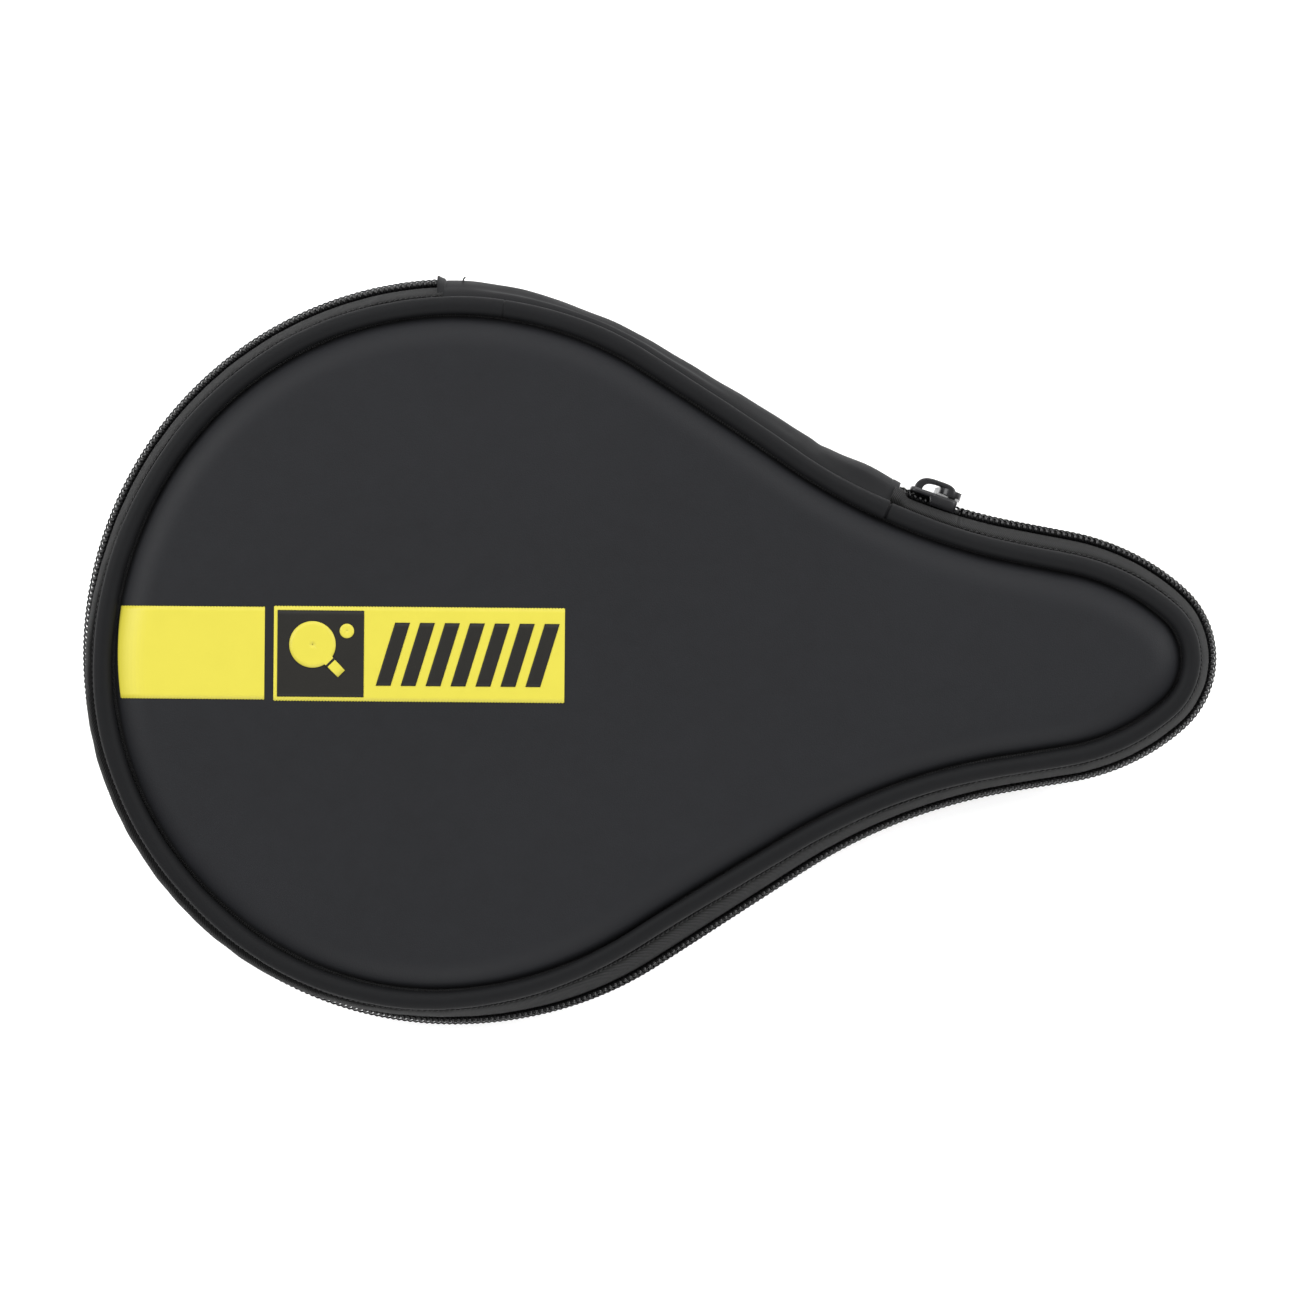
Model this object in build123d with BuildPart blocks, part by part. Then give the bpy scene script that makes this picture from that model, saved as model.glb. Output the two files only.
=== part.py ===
from build123d import *

import os
from math import acos, atan2, cos, degrees, hypot, pi, radians, sin, sqrt, tan

# A zipped clamshell case for one table tennis bat, lying on its back panel.
# +Z is up, +X points to the handle end and +Y to the hinge spine. The origin is under the
# centre of the round blade end, on the surface that the case rests on. Lengths are in mm.

# Outline of the zip's outer edge, where the two halves meet
blade_radius = 99.0  # round end that holds the bat's blade
neck_reach = 19.5  # from the blade's edge to the neck corner, along the centre line
neck_half_width = 41.2  # half width at the neck corner, before it is rounded
neck_blend = 30.5  # how far the neck's curve runs each side of its corner
handle_length = 82.5  # from the neck corner to the handle end
end_half_width = 26.5  # half width the handle sides would have at the handle end
shoulder_radius = 60.0  # between each handle side and the end cap
cap_radius = 25.0  # round end of the handle

# Layers of each padded panel
case_thickness = 34.0
skin_cloth = 0.8
foam_thickness = 3.4
lining_cloth = 0.6
panel_inset = 10.2  # outline to the groove beside the panel
panel_edge_radius = 4.2

# Piping, and the seam allowance behind it
piping_radius = 2.3
piping_cord_radius = 1.5
piping_cloth = 0.7
seam_allowance = 2.4  # depth of the sewn edges behind the groove
binding_cloth = 0.6
binding_width = 3.1  # how far the binding laps under the tape

# Zip chain: two tapes, each with a coil on its outer face
tape_cloth = 0.7
tape_lean_start = 5.2  # height above the middle where the tape starts to lean inwards
tape_lean_inset = 4.2  # how far it leans in before it reaches the piping
coil_depth = 2.8  # from the outline in to the tape
coil_height = 3.3
coil_clearance = 0.15  # each coil's edge to the middle, where the zip is closed
open_coil_gap = 1.0  # each coil's edge to the middle, where the slider passes
stitch_gap = 0.3  # space between the lid's zip and the ends that stay on the base
bar_tack_length = 1.5
lid_zip_room = 1.1  # the slider's tail to where the lid's own zip starts

# Hinge spine: a strip of covered cloth in place of the zip along one flank
spine_start = 6.0  # along the blade's edge, before its middle
spine_short = 2.5  # along the neck's curve, before its middle
spine_cloth = 0.8
spine_lining_cloth = 0.5
spine_lean_inset = 6.0  # how far it leans in before it reaches the piping
spine_inset = 0.2  # middle of the spine to the outline
spine_gap = 0.15  # each half of the spine to the middle
hinge_clearance = 0.5  # outline's bulge to the line that the lid turns about

# Slider, parked beside the handle end of the spine
slider_length = 13.0
slider_park = 9.5  # along the neck's curve, from the spine's end to the slider's centre
slider_clearance = 0.4
slider_plate = 1.0
slider_flange = 1.0
slider_taper = 0.5  # how much narrower each side is at the tail
slider_post_length = 3.6
post_clearance = 0.35  # the post to the coils beside it
slider_stop = 0.5  # left of the neck's curve, with the slider at its far limit
bridge_length = 10.0
bridge_height = 4.4
bridge_width = 2.2
bridge_leg = 2.1
bridge_bar = 1.5

# Puller, hanging from the bridge's leg
puller_plate = 1.7
puller_ring = 1.2
puller_width = 7.6
puller_floor_gap = 2.0  # its tip to the surface that the case rests on
puller_clearance = 0.3  # the ring to the leg inside it
puller_grip_length = 6.0
puller_grip_rise = 0.3

# Printed film on the front panel
film = 0.15
print_centre_y = -1.0
small_print_left = -84.0
small_print_right = -49.9
small_print_height = 24.4
large_print_left = -47.5
large_print_right = 28.9
large_print_height = 25.0
square_print_left = -46.6
square_print_size = 22.8

# Heights above the middle plane
half_thickness = case_thickness / 2
panel_face = half_thickness
seam_height = panel_face - skin_cloth - foam_thickness - lining_cloth
tail_bottom = seam_height - piping_cloth
tape_top_inner = tail_bottom - tape_cloth
piping_height = tail_bottom + piping_radius
piping_centre = panel_inset - piping_radius
seam_inner = panel_inset + seam_allowance

# Where the outline's straight and round spans meet
neck_x = blade_radius + neck_reach
tip_x = neck_x + handle_length
flank_angle = degrees(
    atan2(neck_x, neck_half_width) - acos(blade_radius / hypot(neck_x, neck_half_width))
)
handle_angle = degrees(atan2(neck_half_width - end_half_width, handle_length))
neck_radius = neck_blend / tan(radians(flank_angle - handle_angle) / 2)


def along(angle):
    """Unit vector that runs towards the handle end and falls by an angle in degrees."""
    return Vector(cos(radians(angle)), -sin(radians(angle)), 0)


def away(angle):
    """Unit vector square to along(angle), out of the case on the hinge side."""
    return Vector(sin(radians(angle)), cos(radians(angle)), 0)


neck_corner = Vector(neck_x, neck_half_width, 0)
flank_start = away(flank_angle) * blade_radius
flank_end = neck_corner - along(flank_angle) * neck_blend
neck_centre = flank_end + away(flank_angle) * neck_radius
handle_start = neck_corner + along(handle_angle) * neck_blend
cap_centre = Vector(tip_x - cap_radius, 0, 0)
shoulder_foot = away(handle_angle) * (neck_corner.dot(away(handle_angle)) - shoulder_radius)
shoulder_offset = (shoulder_foot - cap_centre).dot(along(handle_angle))
shoulder_reach = (shoulder_foot - cap_centre).length ** 2 - (shoulder_radius - cap_radius) ** 2
shoulder_centre = shoulder_foot + along(handle_angle) * (
    -shoulder_offset - sqrt(shoulder_offset**2 - shoulder_reach)
)
handle_end = shoulder_centre + away(handle_angle) * shoulder_radius
cap_angle = degrees(atan2(-shoulder_centre.Y, cap_centre.X - shoulder_centre.X))


def arc_degrees(length, radius):
    """Angle in degrees of an arc of a given length."""
    return degrees(length / radius)


spine_start_angle = 90 + arc_degrees(spine_start, blade_radius)
neck_middle = (flank_angle + handle_angle) / 2
spine_end_angle = neck_middle + arc_degrees(spine_short, neck_radius)
slider_angle = spine_end_angle - arc_degrees(slider_park, neck_radius)
slider_tail_angle = slider_angle - arc_degrees(slider_length / 2, neck_radius)
lid_zip_angle = slider_tail_angle - arc_degrees(lid_zip_room, neck_radius)


def arc(centre, radius, start, end):
    """A round span: clockwise about a centre in the case, anticlockwise about one outside."""
    return ("arc", centre, radius, start, end)


def straight(start, end):
    """A straight span."""
    return ("straight", start, end)


def across(point):
    """The point's mirror image on the other side of the centre line."""
    return Vector(point.X, -point.Y, 0)


def neck_arc(start, end):
    """Part of the neck's curve on the hinge side, between two slopes in degrees."""
    return arc(neck_centre, neck_radius, 270 - start, 270 - end)


# Clockwise from the slider's zone, round the handle, the blade and back along the spine
closed_spans = [
    straight(handle_start, handle_end),
    arc(shoulder_centre, shoulder_radius, 90 - handle_angle, cap_angle),
    arc(cap_centre, cap_radius, cap_angle, -cap_angle),
    arc(across(shoulder_centre), shoulder_radius, -cap_angle, handle_angle - 90),
    straight(across(handle_end), across(handle_start)),
    arc(across(neck_centre), neck_radius, 90 + handle_angle, 90 + flank_angle),
    straight(across(flank_end), across(flank_start)),
    arc(Vector(0, 0, 0), blade_radius, flank_angle - 90, spine_start_angle - 360),
]
spine_spans = [
    arc(Vector(0, 0, 0), blade_radius, spine_start_angle, 90 - flank_angle),
    straight(flank_start, flank_end),
    neck_arc(flank_angle, spine_end_angle),
]
slider_spans = [neck_arc(spine_end_angle, handle_angle)]
ring_spans = spine_spans + slider_spans + closed_spans


def section_plane(point, inwards):
    """Plane of a wall section: local X runs into the case and local Y runs up."""
    origin = (point.X, point.Y, half_thickness)
    return Plane(origin=origin, x_dir=inwards, z_dir=inwards.cross(Vector(0, 0, 1)))


def carry(section, spans, mode=Mode.ADD):
    """Carry a wall section along spans of the outline, in the part being built."""
    for kind, *span in spans:
        if kind == "straight":
            start, end = span
            travel = end - start
            inwards = Vector(travel.Y, -travel.X, 0).normalized()
            with BuildSketch(section_plane(start, inwards)) as placed:
                add(section)
            extrude(placed.sketch, amount=travel.length, dir=travel.normalized(), mode=mode)
        else:
            centre, radius, start, end = span
            outwards = Vector(cos(radians(start)), sin(radians(start)), 0)
            turn = 1 if end > start else -1
            with BuildSketch(section_plane(centre + outwards * radius, outwards * turn)) as placed:
                add(section)
            axis = Axis((centre.X, centre.Y, 0), (0, 0, turn))
            revolve(placed.sketch, axis=axis, revolution_arc=abs(end - start), mode=mode)


def draw_ring(inset):
    """Draw the closed outline, moved into the case by an inset, in the line being built."""
    for kind, *span in ring_spans:
        if kind == "straight":
            start, end = span
            travel = (end - start).normalized()
            shift = Vector(travel.Y, -travel.X, 0) * inset
            Line(start + shift, end + shift)
        else:
            centre, radius, start, end = span
            turn = 1 if end > start else -1
            CenterArc(centre, radius + turn * inset, start, end - start)


def polygon(*corners):
    """A wall section with straight edges: each corner is (depth into the case, height)."""
    with BuildSketch() as section:
        with BuildLine():
            Polyline(*corners, close=True)
        make_face()
    return section.sketch


def panel_block(inset, bottom, top, edge_radius):
    """A block of the panel's outline between two heights, with its upper edge rounded."""
    with BuildPart() as block:
        with BuildSketch(Plane.XY.offset(half_thickness + bottom)):
            with BuildLine():
                draw_ring(inset)
            make_face()
        extrude(amount=top - bottom)
        if edge_radius:
            fillet(block.edges().group_by(Axis.Z)[-1], edge_radius)
    return block.part


pieces = {}


def finish(name, part):
    """Give a finished piece its name."""
    part.label = name
    pieces[name] = part


def finish_pair(name, part):
    """A piece of the lid, and its mirror image in the base."""
    finish(f"lid_{name}", part)
    finish(f"base_{name}", mirror(part, about=Plane.XY.offset(half_thickness)))


# Skin: the cloth over each panel, turned down at its edge to the seam
core_inset = panel_inset + skin_cloth
core_radius = panel_edge_radius - skin_cloth
core_face = panel_face - skin_cloth
with BuildPart() as skin:
    add(panel_block(panel_inset, seam_height, panel_face, panel_edge_radius))
    add(panel_block(core_inset, seam_height, core_face, core_radius), mode=Mode.SUBTRACT)
finish_pair("skin", skin.part)

# Lining cloth, and the foam board between it and the skin
with BuildPart() as lining:
    add(panel_block(core_inset, seam_height, seam_height + lining_cloth, 0))
finish_pair("lining", lining.part)

with BuildPart() as foam:
    add(panel_block(core_inset, seam_height, core_face, core_radius))
    add(lining.part, mode=Mode.SUBTRACT)
finish_pair("foam", foam.part)

# Piping: a cord in a rolled strip, whose flat tail is sewn in under the panel's edge
with BuildSketch() as cord_section:
    with Locations((piping_centre, piping_height)):
        Circle(piping_cord_radius)
with BuildSketch() as piping_section:
    with Locations((piping_centre, piping_height)):
        Circle(piping_radius)
    add(
        polygon(
            (piping_centre, tail_bottom),
            (seam_inner, tail_bottom),
            (seam_inner, seam_height),
            (piping_centre, seam_height),
        )
    )
    add(cord_section.sketch, mode=Mode.SUBTRACT)
with BuildPart() as piping:
    carry(piping_section.sketch, ring_spans)
finish_pair("piping", piping.part)

with BuildPart() as piping_cord:
    carry(cord_section.sketch, ring_spans)
finish_pair("piping_cord", piping_cord.part)

# Binding: a strip folded round the raw edges inside the case
binding_face = seam_inner + binding_cloth
binding_bottom = tape_top_inner - binding_cloth
with BuildPart() as seam_binding:
    carry(
        polygon(
            (seam_inner - binding_width, binding_bottom),
            (binding_face, binding_bottom),
            (binding_face, seam_height),
            (seam_inner, seam_height),
            (seam_inner, tape_top_inner),
            (seam_inner - binding_width, tape_top_inner),
        ),
        ring_spans,
    )
finish_pair("seam_binding", seam_binding.part)

# Zip tape: upright behind its coil, then leaning in to the seam under the piping
tape_outer = coil_depth
tape_inner = coil_depth + tape_cloth
tape_bend = tape_outer + tape_lean_inset
lean = atan2(tail_bottom - tape_lean_start, tape_lean_inset)
mitre = tape_cloth * tan((pi / 2 - lean) / 2)
top_mitre = tape_cloth * tan(lean / 2)
tape_section = polygon(
    (tape_outer, open_coil_gap),
    (tape_inner, open_coil_gap),
    (tape_inner, tape_lean_start - mitre),
    (tape_bend + top_mitre, tape_top_inner),
    (seam_inner, tape_top_inner),
    (seam_inner, tail_bottom),
    (tape_bend, tail_bottom),
    (tape_outer, tape_lean_start),
)
with BuildPart() as base_zip_tape:
    carry(tape_section, slider_spans + closed_spans)
finish("base_zip_tape", mirror(base_zip_tape.part, about=Plane.XY.offset(half_thickness)))

with BuildPart() as lid_zip_tape:
    carry(tape_section, closed_spans)
finish("lid_zip_tape", lid_zip_tape.part)

# Along the slider's travel the lid's tape is two pieces, so that their simple hulls clear the
# slider. The leaning one starts above its flange, and the upright one stands on the lid's coil.
slider_half_width = coil_height + slider_clearance + slider_flange
slot_top = slider_half_width + stitch_gap / 2
with BuildPart() as lid_slider_tape:
    carry(tape_section, slider_spans)
    slot = polygon((0, 0), (tape_bend, 0), (tape_bend, slot_top), (0, slot_top))
    carry(slot, slider_spans, Mode.SUBTRACT)
finish("lid_slider_tape", lid_slider_tape.part)

with BuildPart() as lid_neck_tape:
    carry(
        polygon(
            (tape_outer, open_coil_gap),
            (tape_inner, open_coil_gap),
            (tape_inner, slot_top),
            (tape_outer, slot_top),
        ),
        [neck_arc(lid_zip_angle, handle_angle)],
    )
finish("lid_neck_tape", lid_neck_tape.part)

# Coils: plain bars here, set back from each other where the slider's post passes
open_coil = polygon(
    (0, open_coil_gap), (coil_depth, open_coil_gap), (coil_depth, coil_height), (0, coil_height)
)
closed_coil = polygon(
    (0, coil_clearance), (coil_depth, coil_clearance), (coil_depth, coil_height), (0, coil_height)
)
with BuildPart() as base_coil:
    carry(open_coil, slider_spans)
    carry(closed_coil, closed_spans)
finish("base_coil", mirror(base_coil.part, about=Plane.XY.offset(half_thickness)))

with BuildPart() as lid_coil:
    carry(open_coil, [neck_arc(lid_zip_angle, handle_angle)])
    carry(closed_coil, closed_spans)
finish("lid_coil", lid_coil.part)

# The lid side's last few millimetres of zip, sewn down to the base at the spine
stitch_angle = arc_degrees(stitch_gap, neck_radius)
end_start = spine_end_angle - stitch_angle
end_spans = [neck_arc(end_start, lid_zip_angle + stitch_angle)]
end_top = slot_top - stitch_gap
with BuildPart() as zip_end_tape:
    carry(
        polygon(
            (tape_outer, open_coil_gap),
            (tape_inner, open_coil_gap),
            (tape_inner, end_top),
            (tape_outer, end_top),
        ),
        end_spans,
    )
finish("zip_end_tape", zip_end_tape.part)

with BuildPart() as zip_end_coil:
    carry(open_coil, end_spans)
finish("zip_end_coil", zip_end_coil.part)

with BuildPart() as zip_bar_tack:
    carry(
        polygon(
            (tape_outer, -open_coil_gap),
            (tape_inner, -open_coil_gap),
            (tape_inner, open_coil_gap),
            (tape_outer, open_coil_gap),
        ),
        [neck_arc(end_start, end_start - arc_degrees(bar_tack_length, neck_radius))],
    )
finish("zip_bar_tack", zip_bar_tack.part)

# Spine: each half of its cloth and lining curves from the seam to the hinge line
spine_radius = (spine_lean_inset**2 + tail_bottom**2) / (2 * spine_lean_inset)
spine_middle = spine_inset + spine_radius


def spine_depth(radius, height):
    """Depth into the case of a spine curve of some radius, at some height."""
    return spine_middle - sqrt(radius**2 - height**2)


def spine_layer(outer_radius, inner_radius):
    """Section of one curved layer of the spine, between the hinge line and the seam's tail."""
    half = (spine_gap + tail_bottom) / 2
    with BuildSketch() as section:
        with BuildLine():
            rise = [spine_gap, half, tail_bottom]
            outer = [(spine_depth(outer_radius, h), h) for h in rise]
            low = [spine_gap, half, tape_top_inner]
            inner = [(spine_depth(inner_radius, h), h) for h in low]
            ThreePointArc(*outer)
            Line(outer[2], (seam_inner, tail_bottom))
            Line((seam_inner, tail_bottom), (seam_inner, tape_top_inner))
            Line((seam_inner, tape_top_inner), inner[2])
            ThreePointArc(*reversed(inner))
            Line(inner[0], outer[0])
        make_face()
    return section.sketch


spine_cloth_radius = spine_radius - spine_cloth
with BuildPart() as spine:
    carry(spine_layer(spine_radius, spine_cloth_radius), spine_spans)
finish_pair("spine", spine.part)

lining_top = binding_bottom
lining_radius = spine_cloth_radius - spine_lining_cloth
lining_half = (spine_gap + lining_top) / 2
lining_rise = [spine_gap, lining_half, lining_top]
lining_outer = [(spine_depth(spine_cloth_radius, h), h) for h in lining_rise]
lining_inner = [(spine_depth(lining_radius, h), h) for h in lining_rise]
with BuildSketch() as spine_lining_section:
    with BuildLine():
        ThreePointArc(*lining_outer)
        Line(lining_outer[2], lining_inner[2])
        ThreePointArc(*reversed(lining_inner))
        Line(lining_inner[0], lining_outer[0])
    make_face()
with BuildPart() as spine_lining:
    carry(spine_lining_section.sketch, spine_spans)
finish_pair("spine_lining", spine_lining.part)

# Printed film on the front panel: two plain fields and a square
film_plane = Plane.XY.offset(case_thickness)
square_plane = Plane.XY.offset(case_thickness + film)


def film_field(plane, left, right, height):
    """A rectangle of printed film, centred on the print's own line."""
    with BuildPart() as field:
        with BuildSketch(plane):
            with Locations(((left + right) / 2, print_centre_y)):
                Rectangle(right - left, height)
        extrude(amount=film)
    return field.part


finish("print_small_field", film_field(film_plane, small_print_left, small_print_right, small_print_height))
finish("print_large_field", film_field(film_plane, large_print_left, large_print_right, large_print_height))
square_right = square_print_left + square_print_size
finish("print_square", film_field(square_plane, square_print_left, square_right, square_print_size))

# Slider: two plates joined by a post, with flanges round the coils. Local X runs along the
# zip towards the handle end, local Y runs down and local Z runs out of the case.
slider_travel = along(slider_angle)
slider_out = away(slider_angle)
slider_point = neck_centre - slider_out * neck_radius
slider_plane = Plane(
    origin=(slider_point.X, slider_point.Y, half_thickness), x_dir=slider_travel, z_dir=slider_out
)
inner_plate = tape_inner + slider_clearance
flange_depth = tape_outer - slider_clearance
nose = -slider_length / 2
tail = slider_length / 2
post_half_width = open_coil_gap - post_clearance
with BuildSketch() as plate_shape:
    with BuildLine():
        Polyline(
            (nose, -slider_half_width),
            (tail, slider_taper - slider_half_width),
            (tail, slider_half_width - slider_taper),
            (nose, slider_half_width),
            close=True,
        )
    make_face()
    fillet(plate_shape.vertices(), slider_flange)
with BuildSketch() as channel_shape:
    Rectangle(slider_length, 2 * (coil_height + slider_clearance))
with BuildPart() as slider_body:
    with BuildSketch(slider_plane.offset(slider_clearance)):
        add(plate_shape.sketch)
    extrude(amount=slider_plate)
    with BuildSketch(slider_plane.offset(-inner_plate)):
        add(plate_shape.sketch)
    extrude(amount=-slider_plate)
    with BuildSketch(slider_plane.offset(slider_clearance)):
        add(plate_shape.sketch)
        add(channel_shape.sketch, mode=Mode.SUBTRACT)
    extrude(amount=-slider_clearance - flange_depth)
    with BuildSketch(slider_plane.offset(slider_clearance)):
        with Locations((nose + slider_flange + slider_post_length / 2, 0)):
            RectangleRounded(slider_post_length, 2 * post_half_width, post_half_width * 0.9)
    extrude(amount=-slider_clearance - inner_plate)
finish("slider_body", slider_body.part)

# Bridge: the arch on the outer plate that the puller's ring goes round. In the bridge's plane
# local X runs along the zip and local Y runs out of the case.
bridge_foot = slider_clearance + slider_plate
window_length = bridge_length - 2 * bridge_leg
window_height = bridge_height - bridge_bar
bridge_plane = Plane(origin=slider_plane.origin, x_dir=slider_travel, z_dir=(0, 0, 1))
with BuildPart() as slider_bridge:
    with BuildSketch(bridge_plane) as arch:
        with Locations((0, bridge_foot)):
            Rectangle(bridge_length, bridge_height, align=(Align.CENTER, Align.MIN))
        fillet(arch.vertices().group_by(Axis.Y)[-1], bridge_leg)
        with Locations((0, bridge_foot)):
            Rectangle(window_length, window_height, align=(Align.CENTER, Align.MIN), mode=Mode.SUBTRACT)
    extrude(amount=bridge_width / 2, both=True)
finish("slider_bridge", slider_bridge.part)

# Puller: a ring round the bridge's tail leg, and a tapered plate with a raised grip
leg_centre = (bridge_length - bridge_leg) / 2
ring_hole = hypot(bridge_leg, bridge_width) / 2 + puller_clearance
ring_outer = ring_hole + puller_ring
puller_tip = half_thickness - puller_floor_gap
puller_plane = slider_plane.offset(bridge_foot + (window_height - puller_plate) / 2)
grip_plane = puller_plane.offset(puller_plate)
with BuildPart() as puller:
    with BuildSketch(puller_plane) as blank:
        with BuildLine():
            Polyline(
                (leg_centre - ring_outer, 0),
                (leg_centre + ring_outer, 0),
                (leg_centre + puller_width / 2, puller_tip),
                (leg_centre - puller_width / 2, puller_tip),
                close=True,
            )
        make_face()
        fillet(blank.vertices().group_by(Axis.Y)[-1], puller_width / 3)
        with Locations((leg_centre, 0)):
            Circle(ring_outer)
            Circle(ring_hole, mode=Mode.SUBTRACT)
    extrude(amount=puller_plate)
    with BuildSketch(grip_plane):
        with Locations((leg_centre, puller_tip - puller_width / 4 - puller_grip_length / 2)):
            SlotOverall(puller_grip_length, puller_width / 2, rotation=90)
    extrude(amount=puller_grip_rise)
finish("puller", puller.part)

os.makedirs("parts", exist_ok=True)
for name, part in pieces.items():
    export_step(part, f"parts/{name}.step")

# The lines that the moving pieces turn about, and how far the slider goes along the neck
spine_chord = neck_centre - away(spine_end_angle) * neck_radius - Vector(
    blade_radius * cos(radians(spine_start_angle)), blade_radius * sin(radians(spine_start_angle)), 0
)
hinge_angle = degrees(atan2(-spine_chord.Y, spine_chord.X))
hinge_point = away(hinge_angle) * (blade_radius + hinge_clearance)
slider_room = slider_tail_angle - handle_angle - arc_degrees(slider_stop, neck_radius)
puller_point = slider_point + slider_travel * leg_centre
print("overall length", round(blade_radius + tip_x, 2), "middle plane", half_thickness)
print("lid turns about", tuple(hinge_point), "along", tuple(-along(hinge_angle)))
print("slider turns about", tuple(neck_centre), "by up to", round(slider_room, 3), "degrees")
print("puller turns about", tuple(puller_point), "along", tuple(-slider_out))
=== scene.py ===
from math import acos, atan2, cos, hypot, pi, radians, sin, sqrt, tan

import bmesh
import bpy
import numpy as np
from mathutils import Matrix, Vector


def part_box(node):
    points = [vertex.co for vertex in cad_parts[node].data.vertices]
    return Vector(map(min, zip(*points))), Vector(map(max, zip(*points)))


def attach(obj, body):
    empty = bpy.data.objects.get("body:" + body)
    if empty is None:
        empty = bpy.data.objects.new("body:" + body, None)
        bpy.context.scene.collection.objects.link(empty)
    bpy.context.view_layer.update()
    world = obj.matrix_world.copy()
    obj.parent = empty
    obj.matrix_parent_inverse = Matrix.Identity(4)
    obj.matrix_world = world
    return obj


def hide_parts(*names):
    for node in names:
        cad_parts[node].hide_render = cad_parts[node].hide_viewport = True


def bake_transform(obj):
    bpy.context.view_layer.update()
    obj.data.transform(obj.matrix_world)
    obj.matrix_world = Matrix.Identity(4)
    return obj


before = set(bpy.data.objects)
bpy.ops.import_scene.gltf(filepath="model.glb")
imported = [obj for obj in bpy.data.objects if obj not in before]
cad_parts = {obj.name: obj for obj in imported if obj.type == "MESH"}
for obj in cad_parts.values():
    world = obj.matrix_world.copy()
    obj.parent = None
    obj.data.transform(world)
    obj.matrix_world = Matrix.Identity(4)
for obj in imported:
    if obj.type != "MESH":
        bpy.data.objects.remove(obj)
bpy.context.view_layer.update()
MM = 0.001


# ---- Camera ----
# A long lens looks straight down on the closed case from a little over a metre, turned by half
# a degree, so that both panels' edges show nearly evenly all the way round.
camera_height = 1.25
camera_x = 0.0513
camera_y = 0.0007
seen_width = 0.3463
camera_roll = radians(0.5)

zip_level = (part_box("lid_coil")[0].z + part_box("base_coil")[1].z) / 2
camera_data = bpy.data.cameras.new("stand_camera")
camera_data.lens = camera_data.sensor_width * camera_height / seen_width
camera = bpy.data.objects.new("stand_camera", camera_data)
camera.location = (camera_x, camera_y, zip_level + camera_height)
camera.rotation_euler = (0, 0, camera_roll)
bpy.context.scene.collection.objects.link(camera)
bpy.context.scene.camera = camera


# ---- Front and back skins ----
# Each half is a board of foam under a soft-touch coated cloth, pear-shaped like the bat inside.
# The cloth is drawn down over the board's edge and sewn into the piped seam round it.

# The outline is the zip's outer edge: blade end, straight flanks, hollow neck, handle sides,
# shoulders and cap.
blade_radius = -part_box("base_coil")[0].x
tip_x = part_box("base_coil")[1].x
neck_corner = np.array([blade_radius + 19.5 * MM, 41.2 * MM])
neck_blend = 30.5 * MM
end_half_width = 26.5 * MM
shoulder_radius = 60 * MM
cap_radius = 25 * MM

flank_angle = atan2(*neck_corner) - acos(blade_radius / hypot(*neck_corner))
handle_angle = atan2(neck_corner[1] - end_half_width, tip_x - neck_corner[0])
neck_radius = neck_blend / tan((flank_angle - handle_angle) / 2)


def falling(angle):
    """Unit vector towards the handle end that falls by an angle."""
    return np.array([cos(angle), -sin(angle)])


def rising(angle):
    """Unit vector square to falling(angle), out of the case on the hinge side."""
    return np.array([sin(angle), cos(angle)])


flank_end = neck_corner - falling(flank_angle) * neck_blend
neck_centre = flank_end + rising(flank_angle) * neck_radius
cap_centre = np.array([tip_x - cap_radius, 0])
shoulder_foot = rising(handle_angle) * (neck_corner @ rising(handle_angle) - shoulder_radius)
foot_run = (shoulder_foot - cap_centre) @ falling(handle_angle)
foot_gap = (shoulder_foot - cap_centre) @ (shoulder_foot - cap_centre)
shoulder_centre = shoulder_foot - falling(handle_angle) * (
    foot_run + sqrt(foot_run**2 - foot_gap + (shoulder_radius - cap_radius) ** 2)
)
cap_angle = atan2(-shoulder_centre[1], cap_centre[0] - shoulder_centre[0])
handle_start = neck_corner + falling(handle_angle) * neck_blend
handle_run = np.linalg.norm(handle_start - shoulder_centre - rising(handle_angle) * shoulder_radius)
flank_run = np.linalg.norm(flank_end - rising(flank_angle) * blade_radius)

# Upper half of the outline, from the handle's tip to the far side of the blade. Each span is
# (centre, radius, first angle, turn), or (start, None, direction, length) where it is straight.
shoulder_end = shoulder_centre + rising(handle_angle) * shoulder_radius
half_spans = [
    (cap_centre, cap_radius, 0, cap_angle),
    (shoulder_centre, shoulder_radius, cap_angle, pi / 2 - handle_angle - cap_angle),
    (shoulder_end, None, -falling(handle_angle), handle_run),
    (neck_centre, neck_radius, 1.5 * pi - handle_angle, handle_angle - flank_angle),
    (flank_end, None, -falling(flank_angle), flank_run),
    (np.zeros(2), blade_radius, pi / 2 - flank_angle, pi / 2 + flank_angle),
]
span_lengths = [turn if radius is None else abs(turn) * radius for _, radius, _, turn in half_spans]
half_length = sum(span_lengths)
ring_length = 2 * half_length


def outline(s):
    """Points and inward unit vectors at lengths s, anticlockwise from the handle's tip. The lower
    half mirrors the upper one."""
    s = np.mod(np.asarray(s, float), ring_length)
    lower = s > half_length
    along = np.where(lower, ring_length - s, s)
    point, inward = np.zeros(s.shape + (2,)), np.zeros(s.shape + (2,))
    begin = 0
    for (base, radius, first, turn), length in zip(half_spans, span_lengths):
        here = (along >= begin - 1e-12) & (along <= begin + length + 1e-12)
        run = (along[here] - begin)[:, None]
        if radius is None:
            point[here] = base + first * run
            inward[here] = [-first[1], first[0]]
        else:
            angle = first + np.sign(turn) * run / radius
            spoke = np.hstack([np.cos(angle), np.sin(angle)])
            point[here] = base + radius * spoke
            inward[here] = -np.sign(turn) * spoke
        begin += length
    flip = np.where(lower, -1, 1)
    point[..., 1] *= flip
    inward[..., 1] *= flip
    return point, inward


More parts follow.
